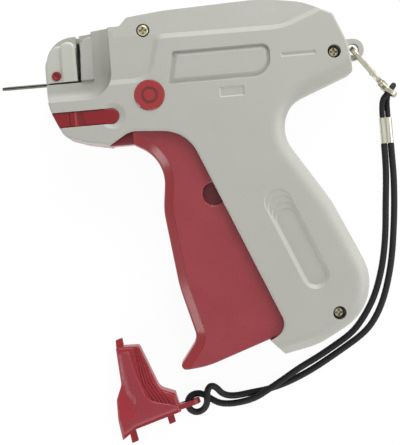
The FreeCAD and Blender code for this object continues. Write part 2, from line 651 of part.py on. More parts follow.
# ======== drive
def trigger():
    """U-shaped moulding: finger wall, two cheeks, a toothed web between them, and the front tongue."""
    low = SPLIT - TRIGGER_W / 2
    high = SPLIT + TRIGGER_W / 2
    body = plate(TRIGGER, low, high)
    front = [nearest_edge(body, (-54.5, 58.0, z)) for z in (low, high)]
    body = body.makeChamfer(TRIGGER_BEVEL, front)
    front = [nearest_edge(body, (-54.5, 58.0, z)) for z in (low + TRIGGER_BEVEL, high - TRIGGER_BEVEL)]
    body = body.makeFillet(TRIGGER_ROUND, front)
    tip = [(x, y, TIP_ROUND if y < -10 else radius) for x, y, radius in TRIGGER]
    body = body.common(plate(tip, low, high))
    hollow = inset_plate(TRIGGER, TRIGGER_WALL, low + TRIGGER_WALL, high - TRIGGER_WALL)
    front = [nearest_edge(hollow, (-52.5, 58.0, z)) for z in (low + TRIGGER_WALL, high - TRIGGER_WALL)]
    hollow = hollow.makeChamfer(TRIGGER_BEVEL - 0.9 * TRIGGER_WALL, front)
    back = plate([
        (-12.5, 3.2), (0.0, 0.0), (12.0, 0.0), (12.0, 70.0), (-33.0, 104.0), (-55.5, 104.0),
        (-55.5, 92.4), (-40.0, 80.0),
    ], low + TRIGGER_WALL, high - TRIGGER_WALL)
    body = body.cut(hollow.fuse(back))
    web_z = (SPLIT - LEVER_T / 2, SPLIT + LEVER_T / 2)
    mesh = math.degrees(math.atan2(LEVER_Y, LEVER_X))
    pitch = 360.0 / SECTOR_TEETH
    root = MODULE * SECTOR_TEETH / 2 - 1.25 * MODULE
    web = pie((0, 0), root, mesh - 0.9 * pitch, 128.0, *web_z)
    inner = pie((0, 0), root, 126.0, 172.0, *web_z).common(plate(TRIGGER, *web_z))
    teeth = [tooth((0, 0), SECTOR_TEETH, mesh + (i - 0.5) * pitch, *web_z) for i in range(4)]
    hub = peg((0, 0), EYE_R, low, high)
    seat = box(-1.0, 3.2, 26.0, 34.0, SPLIT - 4.0, SPLIT + 4.0)
    tongue = plate([
        (-64.0, 87.2), (-75.0, 87.2, 8.0), (-85.0, 89.2, 20.0), (-91.4, 91.4, 0.6),
        (-90.8, 93.4, 0.8), (-83.0, 92.6, 10.0), (-73.0, 94.0, 3.0), (-64.0, 94.0),
    ], SPLIT - TONGUE_W / 2, SPLIT + TONGUE_W / 2)
    body = fused(body, web, inner, hub, seat, tongue, *teeth)
    for z0, z1 in ((0.0, EYE_SIDE), (THICK - EYE_SIDE, THICK)):
        body = body.cut(box(-5.6, 8.0, -8.0, 6.5, z0, z1))
    body = body.cut(peg((0, 0), PIVOT_R + FIT, low - 1, high + 1))
    cup = peg(TRIGGER_CUP, TRIGGER_CUP_R + TRIGGER_CUP_WALL, high - TRIGGER_CUP_DEPTH - TRIGGER_CUP_WALL,
              high - TRIGGER_WALL / 2)
    return fused(body, cup).cut(peg(TRIGGER_CUP, TRIGGER_CUP_R, high - TRIGGER_CUP_DEPTH, high + 1))


def trigger_pivot_pin():
    return peg((0, 0), PIVOT_R, 1.2, THICK - 1.2)


def trigger_return_spring():
    """Compression spring between the trigger's web and a peg in the handle."""
    wire_r = 0.45
    coil_r = 3.4
    length = 18.2
    turns = 5
    helix = Part.makeHelix(length / turns, length, coil_r)
    circle = Part.Wire([Part.Circle(V(coil_r, 0, 0), V(0, 1, 0), wire_r).toShape()])
    spring = Part.Wire(helix).makePipeShell([circle], True, True)
    spring.rotate(V(0, 0, 0), V(0, 1, 0), 90)
    spring.translate(V(3.2 + wire_r, 30.0, SPLIT))
    return spring


def drive_lever():
    """Lever with three teeth below and a slotted head on a bent arm, which clears the neck."""
    centre = (LEVER_X, LEVER_Y)
    z = (SPLIT - LEVER_T / 2, SPLIT + LEVER_T / 2)
    mesh = math.degrees(math.atan2(-LEVER_Y, -LEVER_X))
    pitch = 360.0 / LEVER_TEETH
    root = MODULE * LEVER_TEETH / 2 - 1.25 * MODULE
    heading = 90.0 - SWING / 2
    far = ARM / math.cos(math.radians(SWING / 2))
    slot = obround(polar(centre, ARM - 0.2, heading), polar(centre, far + 0.2, heading),
                   SLIDER_PIN_R + SLOT_PLAY, *z)
    head = obround(polar(centre, ARM - 0.2, heading), polar(centre, far + 0.2, heading),
                   SLIDER_PIN_R + SLOT_PLAY + HEAD_WALL, *z)
    arm = plate([
        (-12.5, 66.0), (-18.0, 88.0, 20.0), (-12.5, 105.5, 10.0), (6.0, 115.3), (9.0, 107.6),
        (-5.5, 100.6, 8.0), (-10.4, 88.0, 16.0), (-3.0, 69.0),
    ], *z)
    hub = peg(centre, LEVER_HUB_R, z[0] - 0.2, z[1] + 0.2)
    rim = pie(centre, root, mesh - 2.3 * pitch, mesh + 0.35 * pitch, *z)
    teeth = [tooth(centre, LEVER_TEETH, mesh - i * pitch, *z) for i in range(3)]
    lever = fused(hub, rim, arm, head, *teeth)
    lever = lever.cut(slot)
    return lever.cut(peg(centre, LEVER_PIN_R + FIT, 0, THICK))


def drive_lever_pin():
    return peg((LEVER_X, LEVER_Y), LEVER_PIN_R, WALL + 0.2, THICK - WALL - 0.2)


def slider():
    """Carriage: two cheeks joined by a block at each end, above the way of the lever."""
    low = SPLIT - SLIDER_W / 2
    high = SPLIT + SLIDER_W / 2
    x0 = PIN_X - 16.0
    x1 = PIN_X + 6.4
    cheeks = [
        box(x0, x1, SLIDER_Y0, SLIDER_Y1, low, low + SLIDER_CHEEK),
        box(x0, x1, SLIDER_Y0, SLIDER_Y1, high - SLIDER_CHEEK, high),
    ]
    front = box(x0, x0 + 7.2, SLIDER_NECK, SLIDER_Y1, low, high)
    rear = box(x1 - 1.2, x1, SLIDER_NECK, SLIDER_Y1, low, high)
    body = fused(front, rear, *cheeks)
    body = body.cut(bar_x(x0 - 1, x0 + 6.0, ROD_Y, SPLIT, ROD_R))
    return body.cut(peg((PIN_X, PIN_Y), SLIDER_PIN_R, 0, THICK))


def slider_pin():
    return peg((PIN_X, PIN_Y), SLIDER_PIN_R, SPLIT - SLIDER_W / 2, SPLIT + SLIDER_W / 2)


def pusher_rod():
    return bar_x(-79.3, PIN_X - 10.0, ROD_Y, SPLIT, ROD_R)


def rod_guide():
    guide = box(-56.4, -48.0, ROD_Y - 3.5, ROD_Y + 3.5, 9.9, 18.0)
    return guide.cut(bar_x(-58, -46, ROD_Y, SPLIT, ROD_R + FIT))


# ======== fasteners
def housing_screws():
    """Three screws with round heads and cross recesses."""
    solids = []
    for x, y, seat in SCREWS:
        shank = peg((x, y), SCREW_R, seat - SCREW_LENGTH, seat + 0.1)
        head = peg((x, y), HEAD_R, seat, seat + HEAD_H)
        head = head.makeFillet(0.7, [nearest_edge(head, (x + HEAD_R, y, seat + HEAD_H))])
        cross = box(x - 1.5, x + 1.5, y - 0.45, y + 0.45, seat + HEAD_H - 1.3, seat + HEAD_H + 1)
        cross = cross.fuse(turned(cross, (x, y), 90))
        solids.append(fused(head, shank).cut(cross))
    return Part.makeCompound(solids)


# ======== hook and strap
def hook_axes():
    """The hook's own length and width as directions: it hangs down a little and leans sideways."""
    tilt = math.radians(HOOK_TILT)
    roll = math.radians(HOOK_ROLL)
    level = V(HOOK_HEADING[0], HOOK_HEADING[1], 0).normalize()
    along = level * math.cos(tilt) - V(0, 0, math.sin(tilt))
    upright = level * math.sin(tilt) + V(0, 0, math.cos(tilt))
    across = upright * math.cos(roll) + along.cross(upright) * math.sin(roll)
    return along, across


def hook_point(distance):
    """Point on the hook's long axis, at a distance from the eyelet's centre."""
    return V(EYELET[0], EYELET[1], SPLIT - EYELET_T / 2) + hook_axes()[0] * distance


def hook_place(shape):
    """From the hook's own plane, with its length along X, to its place in the eyelet."""
    along, across = hook_axes()
    copy = shape.copy()
    turn = FreeCAD.Rotation(along, across, along.cross(across))
    copy.Placement = FreeCAD.Placement(hook_point(0), turn)
    return copy


HOOK_LOW = -4.6           # centre line of the hook's lower side, across the hook
HOOK_HIGH = 5.2
GATE_PIVOT = (HOOK_STEM - 3.4, HOOK_LOW)
GATE_START = 6.9
NECK_R = 0.85


def hook_body():
    """Snap hook: a flat loop, open below where the gate closes it, on a stem with a swivel neck."""
    half = HOOK_T / 2
    rim = 2.3
    loop = plate([
        (-1.15, HOOK_HIGH + rim / 2, 4.6), (HOOK_STEM, HOOK_HIGH + rim / 2, 5.0),
        (HOOK_STEM, HOOK_LOW - rim / 2, 4.0), (-1.15, HOOK_LOW - rim / 2, 4.6),
    ], -half, half)
    loop = loop.makeFillet(0.6, [edge for edge in loop.Edges if edge.BoundBox.ZLength < 0.1])
    hole = plate([
        (1.15, HOOK_HIGH - rim / 2, 2.6), (HOOK_STEM - 2.2, HOOK_HIGH - rim / 2, 3.0),
        (HOOK_STEM - 2.2, HOOK_LOW + rim / 2, 2.0), (1.15, HOOK_LOW + rim / 2, 2.6),
    ], -half, half)
    gap = box(GATE_START - 0.3, GATE_PIVOT[0] + 1.7, HOOK_LOW - 2, HOOK_LOW + 1.4, -half, half)
    pocket = box(GATE_PIVOT[0] - 3.0, HOOK_STEM - 0.8, HOOK_LOW - 2.5, HOOK_LOW + 2.2, -0.7, 0.7)
    cheek = peg(GATE_PIVOT, 1.9, -half, half)
    body = loop.cut(hole).cut(gap).fuse(cheek).cut(pocket)
    stem = Part.makeCylinder(1.3, 1.6, V(HOOK_STEM - 0.6, 0.0, 0), V(1, 0, 0))
    neck = Part.makeCylinder(NECK_R, 4.4, V(HOOK_STEM, 0.0, 0), V(1, 0, 0))
    head = Part.makeCylinder(1.25, 0.7, V(HOOK_STEM + 4.0, 0.0, 0), V(1, 0, 0))
    body = fused(body, stem, neck, head)
    body = body.cut(peg(GATE_PIVOT, 0.6 + FIT, -half - 1, half + 1))
    return hook_place(body)


def hook_gate():
    """Gate bar with a thin root between the hook's cheeks."""
    bar = box(GATE_START, GATE_PIVOT[0] - 2.4, HOOK_LOW - 1.0, HOOK_LOW + 1.0, -HOOK_T / 2, HOOK_T / 2)
    root = box(GATE_PIVOT[0] - 3.6, GATE_PIVOT[0], HOOK_LOW - 1.0, HOOK_LOW + 1.0, -0.6, 0.6)
    gate = fused(bar, root, peg(GATE_PIVOT, 1.2, -0.6, 0.6))
    return hook_place(gate.cut(peg(GATE_PIVOT, 0.6 + FIT, -3, 3)))


def gate_rivet():
    return hook_place(peg(GATE_PIVOT, 0.6, -HOOK_T / 2 - 0.25, HOOK_T / 2 + 0.25))


def gate_spring():
    """Leaf that presses the gate shut, between its root and the end of the loop."""
    return hook_place(obround((GATE_PIVOT[0] - 3.0, HOOK_LOW + 1.2), (HOOK_STEM - 2.6, HOOK_LOW + 2.6),
                              0.18, -0.5, 0.5))


def swivel_eye():
    """Flat oval eye, standing on edge, with a round boss that turns on the hook's neck."""
    half = 1.05
    eye = plate([(-3.7, 3.5, 3.0), (3.7, 3.5, 3.0), (3.7, -3.5, 3.0), (-3.7, -3.5, 3.0)], -half, half)
    hole = plate([(-1.9, 2.1, 1.9), (2.5, 2.1, 1.9), (2.5, -2.1, 1.9), (-1.9, -2.1, 1.9)], -half, half)
    eye = eye.makeFillet(0.5, [edge for edge in eye.Edges if edge.BoundBox.ZLength < 0.1])
    eye = eye.cut(hole)
    level = V(RING_HEADING[0], RING_HEADING[1], 0).normalize()
    up = V(0, 0, 1)
    centre = hook_point(HOOK_STEM + HOOK_EYE) + up * EYE_LIFT
    eye.Placement = FreeCAD.Placement(centre, FreeCAD.Rotation(level, up, level.cross(up)))
    along = hook_axes()[0]
    root = hook_point(HOOK_STEM + 1.15)
    boss = Part.makeCylinder(1.7, 2.7, root, along)
    bore = Part.makeCylinder(NECK_R + FIT, HOOK_EYE, root - along, along)
    room = Part.makeCylinder(1.4, 2.4, root + along * 2.75, along)
    return fused(eye, boss).cut(bore).cut(room)


def cord(points, radius, name):
    """Round cord along straight runs joined by arcs, each as large as its two runs allow."""
    places = [V(*point) for point in points]
    edges = []
    radii = []
    last = places[0]
    for before, corner, after in zip(places, places[1:], places[2:]):
        back = before - corner
        ahead = after - corner
        shorter = min(back.Length, ahead.Length)
        half = back.getAngle(ahead) / 2
        reach = 0.45 * shorter
        bend = reach * math.tan(half)
        back.normalize()
        ahead.normalize()
        start = corner + back * reach
        middle = corner + (back + ahead).normalize() * (bend / math.sin(half) - bend)
        end = corner + ahead * reach
        edges.append(Part.LineSegment(last, start).toShape())
        edges.append(Part.Arc(start, middle, end).toShape())
        radii.append(bend)
        last = end
    edges.append(Part.LineSegment(last, places[-1]).toShape())
    path = Part.Wire(edges)
    heading = (places[1] - places[0]).normalize()
    circle = Part.Wire([Part.Circle(places[0], heading, radius).toShape()])
    tube = path.makePipeShell([circle], True, True)
    expected = math.pi * radius ** 2 * path.Length
    print("%s: length %.1f, radii %s, volume / expected %.4f"
          % (name, path.Length, " ".join("%.1f" % bend for bend in radii), tube.Volume / expected))
    return tube


HOOK_LOOP_ROUTE = [
    (43.65, 90.3, 1.8), (43.65, 94.4, 1.8), (44.1, 98.6, 4.5), (46.7, 100.9, 6.6), (49.2, 103.7, 6.5),
    (49.7, 104.3, 1.4), (47.2, 101.0, 1.25), (46.3, 97.4, 1.3), (46.15, 94.0, 1.8), (46.15, 90.3, 1.8),
]

STRAP_ROUTE = [
    (46.38, 79.1, 1.8), (46.38, 72.5, 1.8), (46.45, 64.2, 1.45), (45.6, 51.8, 1.45), (44.3, 40.9, 1.45),
    (42.9, 31.4, 1.45), (41.0, 22.7, 1.45), (37.8, 12.4, 1.45), (33.6, 4.0, 1.45), (28.0, -2.7, 1.45),
    (16.3, -9.7, 1.45), (5.2, -15.9, 1.45), (-2.1, -19.3, 1.45), (-9.3, -22.0, 1.45), (-16.6, -23.8, 1.45),
    (-23.7, -24.5, 1.45), (-29.7, -25.3, 1.45), (-33.8, -25.2, 1.45), (-37.0, -23.8, 2.2),
    (-39.3, -20.6, 3.6), (-41.6, -19.6, 4.9), (-43.2, -21.4, 5.8), (-43.6, -24.4, 5.9), (-43.7, -27.2, 4.9),
    (-45.3, -29.9, 3.2), (-48.4, -31.2, 2.7), (-51.3, -29.8, 3.7), (-52.4, -26.6, 4.8), (-51.1, -23.6, 3.7),
    (-47.8, -22.6, 2.0), (-44.4, -23.8, 1.5), (-41.4, -26.2, 1.45), (-38.0, -28.2, 1.45),
    (-33.2, -28.7, 1.45), (-29.0, -28.4, 1.45), (-25.2, -27.6, 2.7), (-21.3, -26.2, 4.2),
    (-16.3, -23.4, 4.8), (-10.1, -19.9, 4.8), (-4.2, -16.6, 3.5), (-0.1, -14.6, 1.9), (5.7, -11.9, 1.45),
    (13.0, -7.9, 1.45), (22.6, -2.2, 1.45), (28.4, 4.6, 1.45), (33.5, 12.8, 1.45), (37.2, 23.0, 1.45),
    (39.3, 31.7, 1.45), (40.8, 41.2, 1.45), (41.8, 52.2, 1.45), (43.1, 64.5, 1.45), (43.42, 72.5, 1.8),
    (43.42, 79.1, 1.8),
]


def ferrule():
    """Crimped metal sleeve with rounded sides and a seam along its top."""
    half = FERRULE_W / 2
    profile = rounded([(-half, 0, 1.5), (half, 0, 1.5), (half, FERRULE_H, 1.7), (-half, FERRULE_H, 1.7)])
    sleeve = Part.Face(profile).extrude(V(0, 0, FERRULE_L))
    seam = box(-0.9, -0.6, FERRULE_H - 0.25, FERRULE_H + 1, -1, FERRULE_L + 1)
    sleeve = sleeve.cut(seam)
    turn = FreeCAD.Rotation(V(-1, 0, 0), V(0, 0, 1), V(0, 1, 0))
    sleeve.Placement = FreeCAD.Placement(V(FERRULE[0], FERRULE[1] - FERRULE_L / 2, 0), turn)
    return sleeve


# ======== needle cap
CAP = [
    (-81.1, 1.0, 1.0), (-80.0, -15.4, 5.0), (-82.6, -21.8, 4.0), (-82.7, -30.4, 20.0),
    (-81.4, -39.3, 0.0), (-75.5, -35.0, 6.0), (-55.2, -29.0, 0.0), (-57.0, -21.0, 0.8),
    (-63.6, -18.4, 5.0), (-71.0, 0.8, 1.6),
]
# Outline of the smooth ridge on top of the cap, anticlockwise.
CAP_RIDGE = [
    (-75.1, -1.2, 1.3), (-79.9, -1.2, 1.3), (-79.2, -15.5, 5.0), (-81.8, -22.0, 4.0),
    (-81.9, -30.4, 20.0), (-80.7, -37.2, 0.6), (-75.0, -33.6, 6.0), (-56.5, -28.0, 0.5),
    (-56.9, -25.8, 0.5), (-69.0, -22.9, 7.0), (-73.3, -10.0, 30.0),
]
THUMB_MARK = (-80.4, -25.4)


def cap_grooves():
    """Grooves that run down the side of the ridge and sweep outwards at their lower end."""
    grooves = []
    width = 0.5
    for i in range(GROOVES):
        top = -73.6 + 0.62 * i
        knee = (-71.2 + 1.25 * i, -15.6 + 0.3 * i)
        foot = (-67.2 + 1.85 * i, -23.4 - 0.55 * i)
        grooves.append(plate([
            (top, 3.0), (top + width, 3.0), (knee[0] + width, knee[1], 12.0),
            (foot[0] + 1.4 * width, foot[1]), (foot[0], foot[1]), (knee[0], knee[1], 12.0),
        ], CAP_SIDE_H - 0.55, CAP_H))
    return grooves


def needle_cap():
    """Hollow cap, open below, with a smooth ridge, swept grooves, clips and an eye for the cord."""
    side = plate(CAP, 0, CAP_SIDE_H)
    side = side.makeFillet(1.6, [nearest_edge(side, (-67.3, -8.8, CAP_SIDE_H))])
    for groove in cap_grooves():
        side = side.cut(groove)
    ridge = plate(CAP_RIDGE, CAP_WALL, CAP_H)
    ridge = ridge.makeFillet(0.9, [edge for edge in ridge.Edges if edge.BoundBox.ZMin > CAP_H - 0.1])
    body = side.fuse(ridge)
    hollow = inset_plate(CAP, CAP_WALL, CAP_WALL, CAP_SIDE_H - CAP_WALL)
    mouth = plate([(-81.0, -33.0), (-57.5, -25.0), (-57.8, -34.0), (-80.6, -44.0)],
                  CAP_WALL, CAP_SIDE_H - CAP_WALL)
    body = body.cut(hollow.fuse(mouth))
    reach = 6.4
    depth = 0.9
    radius = (reach ** 2 + depth ** 2) / (2 * depth)
    body = body.cut(Part.makeSphere(radius, V(THUMB_MARK[0], THUMB_MARK[1], CAP_H + radius - depth)))
    tabs = [
        plate([(-80.9, 0.6), (-77.7, 1.0), (-78.0, 4.6, 0.4), (-80.9, 3.8, 0.4)], 4.5, 9.0),
        plate([(-78.9, -36.0), (-76.4, -34.0), (-75.0, -41.3, 0.4), (-78.0, -42.3, 0.4)], 0.0, CAP_WALL),
        plate([(-62.1, -30.0), (-59.2, -29.2), (-58.1, -34.5, 0.4), (-61.0, -35.5, 0.4)], 0.0, CAP_WALL),
    ]
    half = CAP_EYE_T / 2
    eye = plate([(-1.0, 0.8), (8.2, 0.8, 3.0), (9.8, 4.6, 3.0), (8.2, 9.0, 3.0), (-1.0, 9.6)], -half, half)
    hole = plate([(1.9, 2.4, 2.0), (7.4, 2.4, 2.0), (7.4, 7.3, 2.0), (1.9, 7.3, 2.0)], -half, half)
    eye = eye.cut(hole)
    along = V(0.973, 0.232, 0).normalize()
    up = V(0, 0, 1)
    eye.Placement = FreeCAD.Placement(V(-56.0, -27.5, 0), FreeCAD.Rotation(along, up, along.cross(up)))
    return fused(body, eye, *tabs)


PIECES = {
    "left_housing": left_housing, "right_housing": right_housing,
    "front_guide_block": front_guide_block, "guide_block_pin": guide_block_pin,
    "needle": needle, "needle_hub": needle_hub, "needle_lock_slide": needle_lock_slide,
    "lock_detent_spring": lock_detent_spring, "type_badge": type_badge,
    "housing_screws": housing_screws, "trigger": trigger, "trigger_pivot_pin": trigger_pivot_pin,
    "trigger_return_spring": trigger_return_spring, "drive_lever": drive_lever,
    "drive_lever_pin": drive_lever_pin, "slider": slider, "slider_pin": slider_pin,
    "pusher_rod": pusher_rod, "rod_guide": rod_guide, "feed_wheel": feed_wheel,
    "feed_wheel_shaft": feed_wheel_shaft, "feed_rocker": feed_rocker, "feed_pawl": feed_pawl,
    "check_spring": check_spring, "hook_body": hook_body, "hook_gate": hook_gate,
    "gate_rivet": gate_rivet, "gate_spring": gate_spring, "swivel_eye": swivel_eye,
    "hook_loop_cord": lambda: cord(HOOK_LOOP_ROUTE, LOOP_R, "hook_loop_cord"),
    "ferrule": ferrule,
    "strap_cord": lambda: cord(STRAP_ROUTE, CORD_R, "strap_cord"),
    "needle_cap": needle_cap,
}

os.makedirs("parts", exist_ok=True)
for name, make in PIECES.items():
    shape = make()
    solids = len(shape.Solids)
    print("%-22s solids %d valid %s volume %.1f" % (name, solids, shape.isValid(), shape.Volume))
    shape.exportStep("parts/%s.step" % name)
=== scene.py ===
import math

import bmesh
import bpy
import numpy as np
from mathutils import Matrix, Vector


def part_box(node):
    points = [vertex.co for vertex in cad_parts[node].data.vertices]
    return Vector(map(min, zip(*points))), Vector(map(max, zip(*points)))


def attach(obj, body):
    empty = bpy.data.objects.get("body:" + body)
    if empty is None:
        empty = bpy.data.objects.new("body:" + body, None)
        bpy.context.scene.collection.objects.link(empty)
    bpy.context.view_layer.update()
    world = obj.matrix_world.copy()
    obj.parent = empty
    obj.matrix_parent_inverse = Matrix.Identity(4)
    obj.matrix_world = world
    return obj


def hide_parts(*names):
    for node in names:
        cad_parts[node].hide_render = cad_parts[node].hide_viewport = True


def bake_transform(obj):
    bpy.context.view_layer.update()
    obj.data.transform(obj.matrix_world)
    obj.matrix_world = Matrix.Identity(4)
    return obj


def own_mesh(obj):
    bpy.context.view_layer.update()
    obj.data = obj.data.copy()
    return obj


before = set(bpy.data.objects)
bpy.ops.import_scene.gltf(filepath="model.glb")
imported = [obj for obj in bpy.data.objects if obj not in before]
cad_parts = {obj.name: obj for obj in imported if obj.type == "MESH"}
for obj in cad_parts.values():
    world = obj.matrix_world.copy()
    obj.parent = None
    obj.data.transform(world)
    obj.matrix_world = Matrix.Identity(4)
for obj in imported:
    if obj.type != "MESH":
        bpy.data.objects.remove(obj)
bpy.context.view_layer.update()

# ======== Camera
# The gun lies on its right side and is seen from straight above, from a little over half a metre,
# turned by five degrees so that the top of the body slopes up to the right.
MM = 0.001
VIEW_CENTRE = (-40.0 * MM, 51.6 * MM)
VIEW_HEIGHT = 634.0 * MM
VIEW_TURN = math.radians(-5.0)
IMAGE_HEIGHT = 445           # pixels, the long side
NEAR_CLIP = 10.0 * MM
PIXEL = 0.43 * MM            # at the parting plane of the two shells
PARTING = 14.0 * MM
SENSOR = 36.0                # mm along the long side

camera_data = bpy.data.cameras.new("camera")
camera_data.sensor_width = SENSOR
camera_data.lens = SENSOR * (VIEW_HEIGHT - PARTING) / (PIXEL * IMAGE_HEIGHT)
camera_data.clip_start = NEAR_CLIP
camera = bpy.data.objects.new("camera", camera_data)
camera.location = (VIEW_CENTRE[0], VIEW_CENTRE[1], VIEW_HEIGHT)
camera.rotation_euler = (0, 0, VIEW_TURN)
bpy.context.collection.objects.link(camera)
bpy.context.scene.camera = camera


# ======== Strap: two lengths of braided cord
# Thin nylon cord, woven round a core from sixteen strands. The long one is hitched to the eye of
# the needle cap, the short one runs through the eye of the hook, and one crimped sleeve holds both.
CORD_D = 2.9 * MM
LOOP_D = 2.4 * MM
STRANDS = 8                  # strands that wind each way
BRAID_PITCH = 9.0 * MM       # length of one turn of a strand
BRAID_RELIEF = 0.13 * MM
RING_STEP = 0.45 * MM
RING_POINTS = 40
CURVE_STEPS = 24             # points that the curve gives between two of the route's
CUT_END = 0.86               # radius of a cut end, as a share of the cord's

# Routes are in mm: from the sleeve to the cap, round its eye and back, and from the sleeve through
# the hook's eye and back.
STRAP_ROUTE = [
    (46.38, 79.1, 1.8), (46.38, 72.5, 1.8), (46.45, 64.2, 1.45), (45.6, 51.8, 1.45),
    (44.3, 40.9, 1.45), (42.9, 31.4, 1.45), (41.0, 22.7, 1.45), (37.8, 12.4, 1.45),
    (33.6, 4.0, 1.45), (28.0, -2.7, 1.45), (16.3, -9.7, 1.45), (5.2, -15.9, 1.45),
    (-2.1, -19.3, 1.45), (-9.3, -22.0, 1.45), (-16.6, -23.8, 1.45), (-23.7, -24.5, 1.45),
    (-29.7, -25.3, 1.45), (-33.8, -25.2, 1.45), (-37.0, -23.8, 2.2), (-39.3, -20.6, 3.6),
    (-41.6, -19.6, 4.9), (-43.2, -21.4, 5.8), (-43.6, -24.4, 5.9), (-43.7, -27.2, 4.9),
    (-45.3, -29.9, 3.2), (-48.4, -31.2, 2.7), (-51.3, -29.8, 3.7), (-52.4, -26.6, 4.8),
    (-51.1, -23.6, 3.7), (-47.8, -22.6, 2.0), (-44.4, -23.8, 1.5), (-41.4, -26.2, 1.45),
    (-38.0, -28.2, 1.45), (-33.2, -28.7, 1.45), (-29.0, -28.4, 1.45), (-25.2, -27.6, 2.7),
    (-21.3, -26.2, 4.2), (-16.3, -23.4, 4.8), (-10.1, -19.9, 4.8), (-4.2, -16.6, 3.5),
    (-0.1, -14.6, 1.9), (5.7, -11.9, 1.45), (13.0, -7.9, 1.45), (22.6, -2.2, 1.45),
    (28.4, 4.6, 1.45), (33.5, 12.8, 1.45), (37.2, 23.0, 1.45), (39.3, 31.7, 1.45),
    (40.8, 41.2, 1.45), (41.8, 52.2, 1.45), (43.1, 64.5, 1.45), (43.42, 72.5, 1.8),
    (43.42, 79.1, 1.8),
]
LOOP_ROUTE = [
    (43.65, 90.3, 1.8), (43.65, 94.4, 1.8), (44.1, 98.6, 4.5), (46.7, 100.9, 6.6),
    (49.2, 103.7, 6.5), (49.7, 104.3, 1.4), (47.2, 101.0, 1.25), (46.3, 97.4, 1.3),
    (46.15, 94.0, 1.8), (46.15, 90.3, 1.8),
]
STRAP_SIDE = (0, 0, 1)       # a direction that the cord never runs along, to count its strands from
LOOP_SIDE = (0.7, -0.7, 0.1)


def linear(code):
    """sRGB hex text to linear red, green, blue and full alpha."""
    parts = [int(code[i:i + 2], 16) / 255 for i in (1, 3, 5)]
    parts = [c / 12.92 if c <= 0.04045 else ((c + 0.055) / 1.055) ** 2.4 for c in parts]
    return (*parts, 1.0)


def add(tree, kind, inputs=None, **settings):
    """Add a node with its settings. A socket among the inputs is linked, and a value is set."""
    new = tree.nodes.new(kind)
    for name, value in settings.items():
        setattr(new, name, value)
    for name, value in (inputs or {}).items():
        if isinstance(value, bpy.types.NodeSocket):
            tree.links.new(value, new.inputs[name])
        else:
            new.inputs[name].default_value = value
    return new


def blank_material(name):
    """A new material and its empty node tree."""
    material = bpy.data.materials.new(name)
    material.use_nodes = True
    material.node_tree.nodes.clear()
    return material, material.node_tree


def place(point):
    """A point in mm as one in metres."""
    return tuple(c * MM for c in point)


def smooth_object(name, points, faces, uv=None):
    """An object at the origin from an array of points and a list of faces, shaded smooth."""
    mesh = bpy.data.meshes.new(name)
    mesh.from_pydata(points.tolist(), [], faces)
    mesh.polygons.foreach_set("use_smooth", np.ones(len(mesh.polygons), dtype=bool))
    if uv is not None:
        corners = np.empty(len(mesh.loops), dtype=np.int32)
        mesh.loops.foreach_get("vertex_index", corners)
        layer = mesh.uv_layers.new(name="UVMap")
        layer.data.foreach_set("uv", uv[corners].astype(np.float32).ravel())
    mesh.update()
    made = bpy.data.objects.new(name, mesh)
    bpy.context.collection.objects.link(made)
    return made


def spline_points(route):
    """Points at even steps of the smooth curve that a route's points pull, and how far along it
    each of them lies."""
    curve = bpy.data.curves.new("route", "CURVE")
    curve.dimensions = "3D"
    spline = curve.splines.new("NURBS")
    spline.points.add(len(route) - 1)
    spline.points.foreach_set("co", [c for point in route for c in (*place(point), 1.0)])
    spline.order_u = 3
    spline.use_endpoint_u = True
    spline.resolution_u = CURVE_STEPS
    holder = bpy.data.objects.new("route", curve)
    mesh = bpy.data.meshes.new_from_object(holder)
    points = np.empty(len(mesh.vertices) * 3)
    mesh.vertices.foreach_get("co", points)
    points = points.reshape(-1, 3)
    bpy.data.meshes.remove(mesh)
    bpy.data.objects.remove(holder)
    bpy.data.curves.remove(curve)
    along = np.concatenate([[0], np.cumsum(np.linalg.norm(np.diff(points, axis=0), axis=1))])
    steps = np.linspace(0, along[-1], int(along[-1] / RING_STEP))
    return np.stack([np.interp(steps, along, points[:, i]) for i in range(3)], axis=1), steps


def unit(v):
    """Vectors scaled to length one."""
    return v / np.linalg.norm(v, axis=-1, keepdims=True)


def tube(name, centre, side, up, radius, uv=None):
    """Tube along a line, closed at each end by a flat fan of triangles. A point lies at centre +
    radius * (cos a side + sin a up), with a the angle round the line, and side cross up points back
    along it. The radius has a row for each ring and a column for each of its points."""
    count, around = radius.shape
    angle = np.linspace(0, 2 * np.pi, around, endpoint=False)
    ring = centre[:, None] + radius[..., None] * (
        np.cos(angle)[None, :, None] * side[:, None] + np.sin(angle)[None, :, None] * up[:, None])
    points = np.concatenate([ring.reshape(-1, 3), centre[:1], centre[-1:]])
    here = np.arange(count * around).reshape(count, around)
    ahead = np.roll(here, -1, axis=1)
    wall = np.stack([here[1:], ahead[1:], ahead[:-1], here[:-1]], axis=-1).reshape(-1, 4)
    first_tip, last_tip = np.full(around, len(points) - 2), np.full(around, len(points) - 1)
    fans = np.concatenate([np.stack([here[0], ahead[0], first_tip], axis=1),
                           np.stack([ahead[-1], here[-1], last_tip], axis=1)])
    if uv is not None:
        uv = np.concatenate([uv.reshape(-1, 2), [[0, 0], [0, 1]]])
    made = smooth_object(name, points, wall.tolist() + fans.tolist(), uv)
    made.data.polygons.foreach_set("use_smooth", np.arange(len(wall) + len(fans)) < len(wall))
    return made


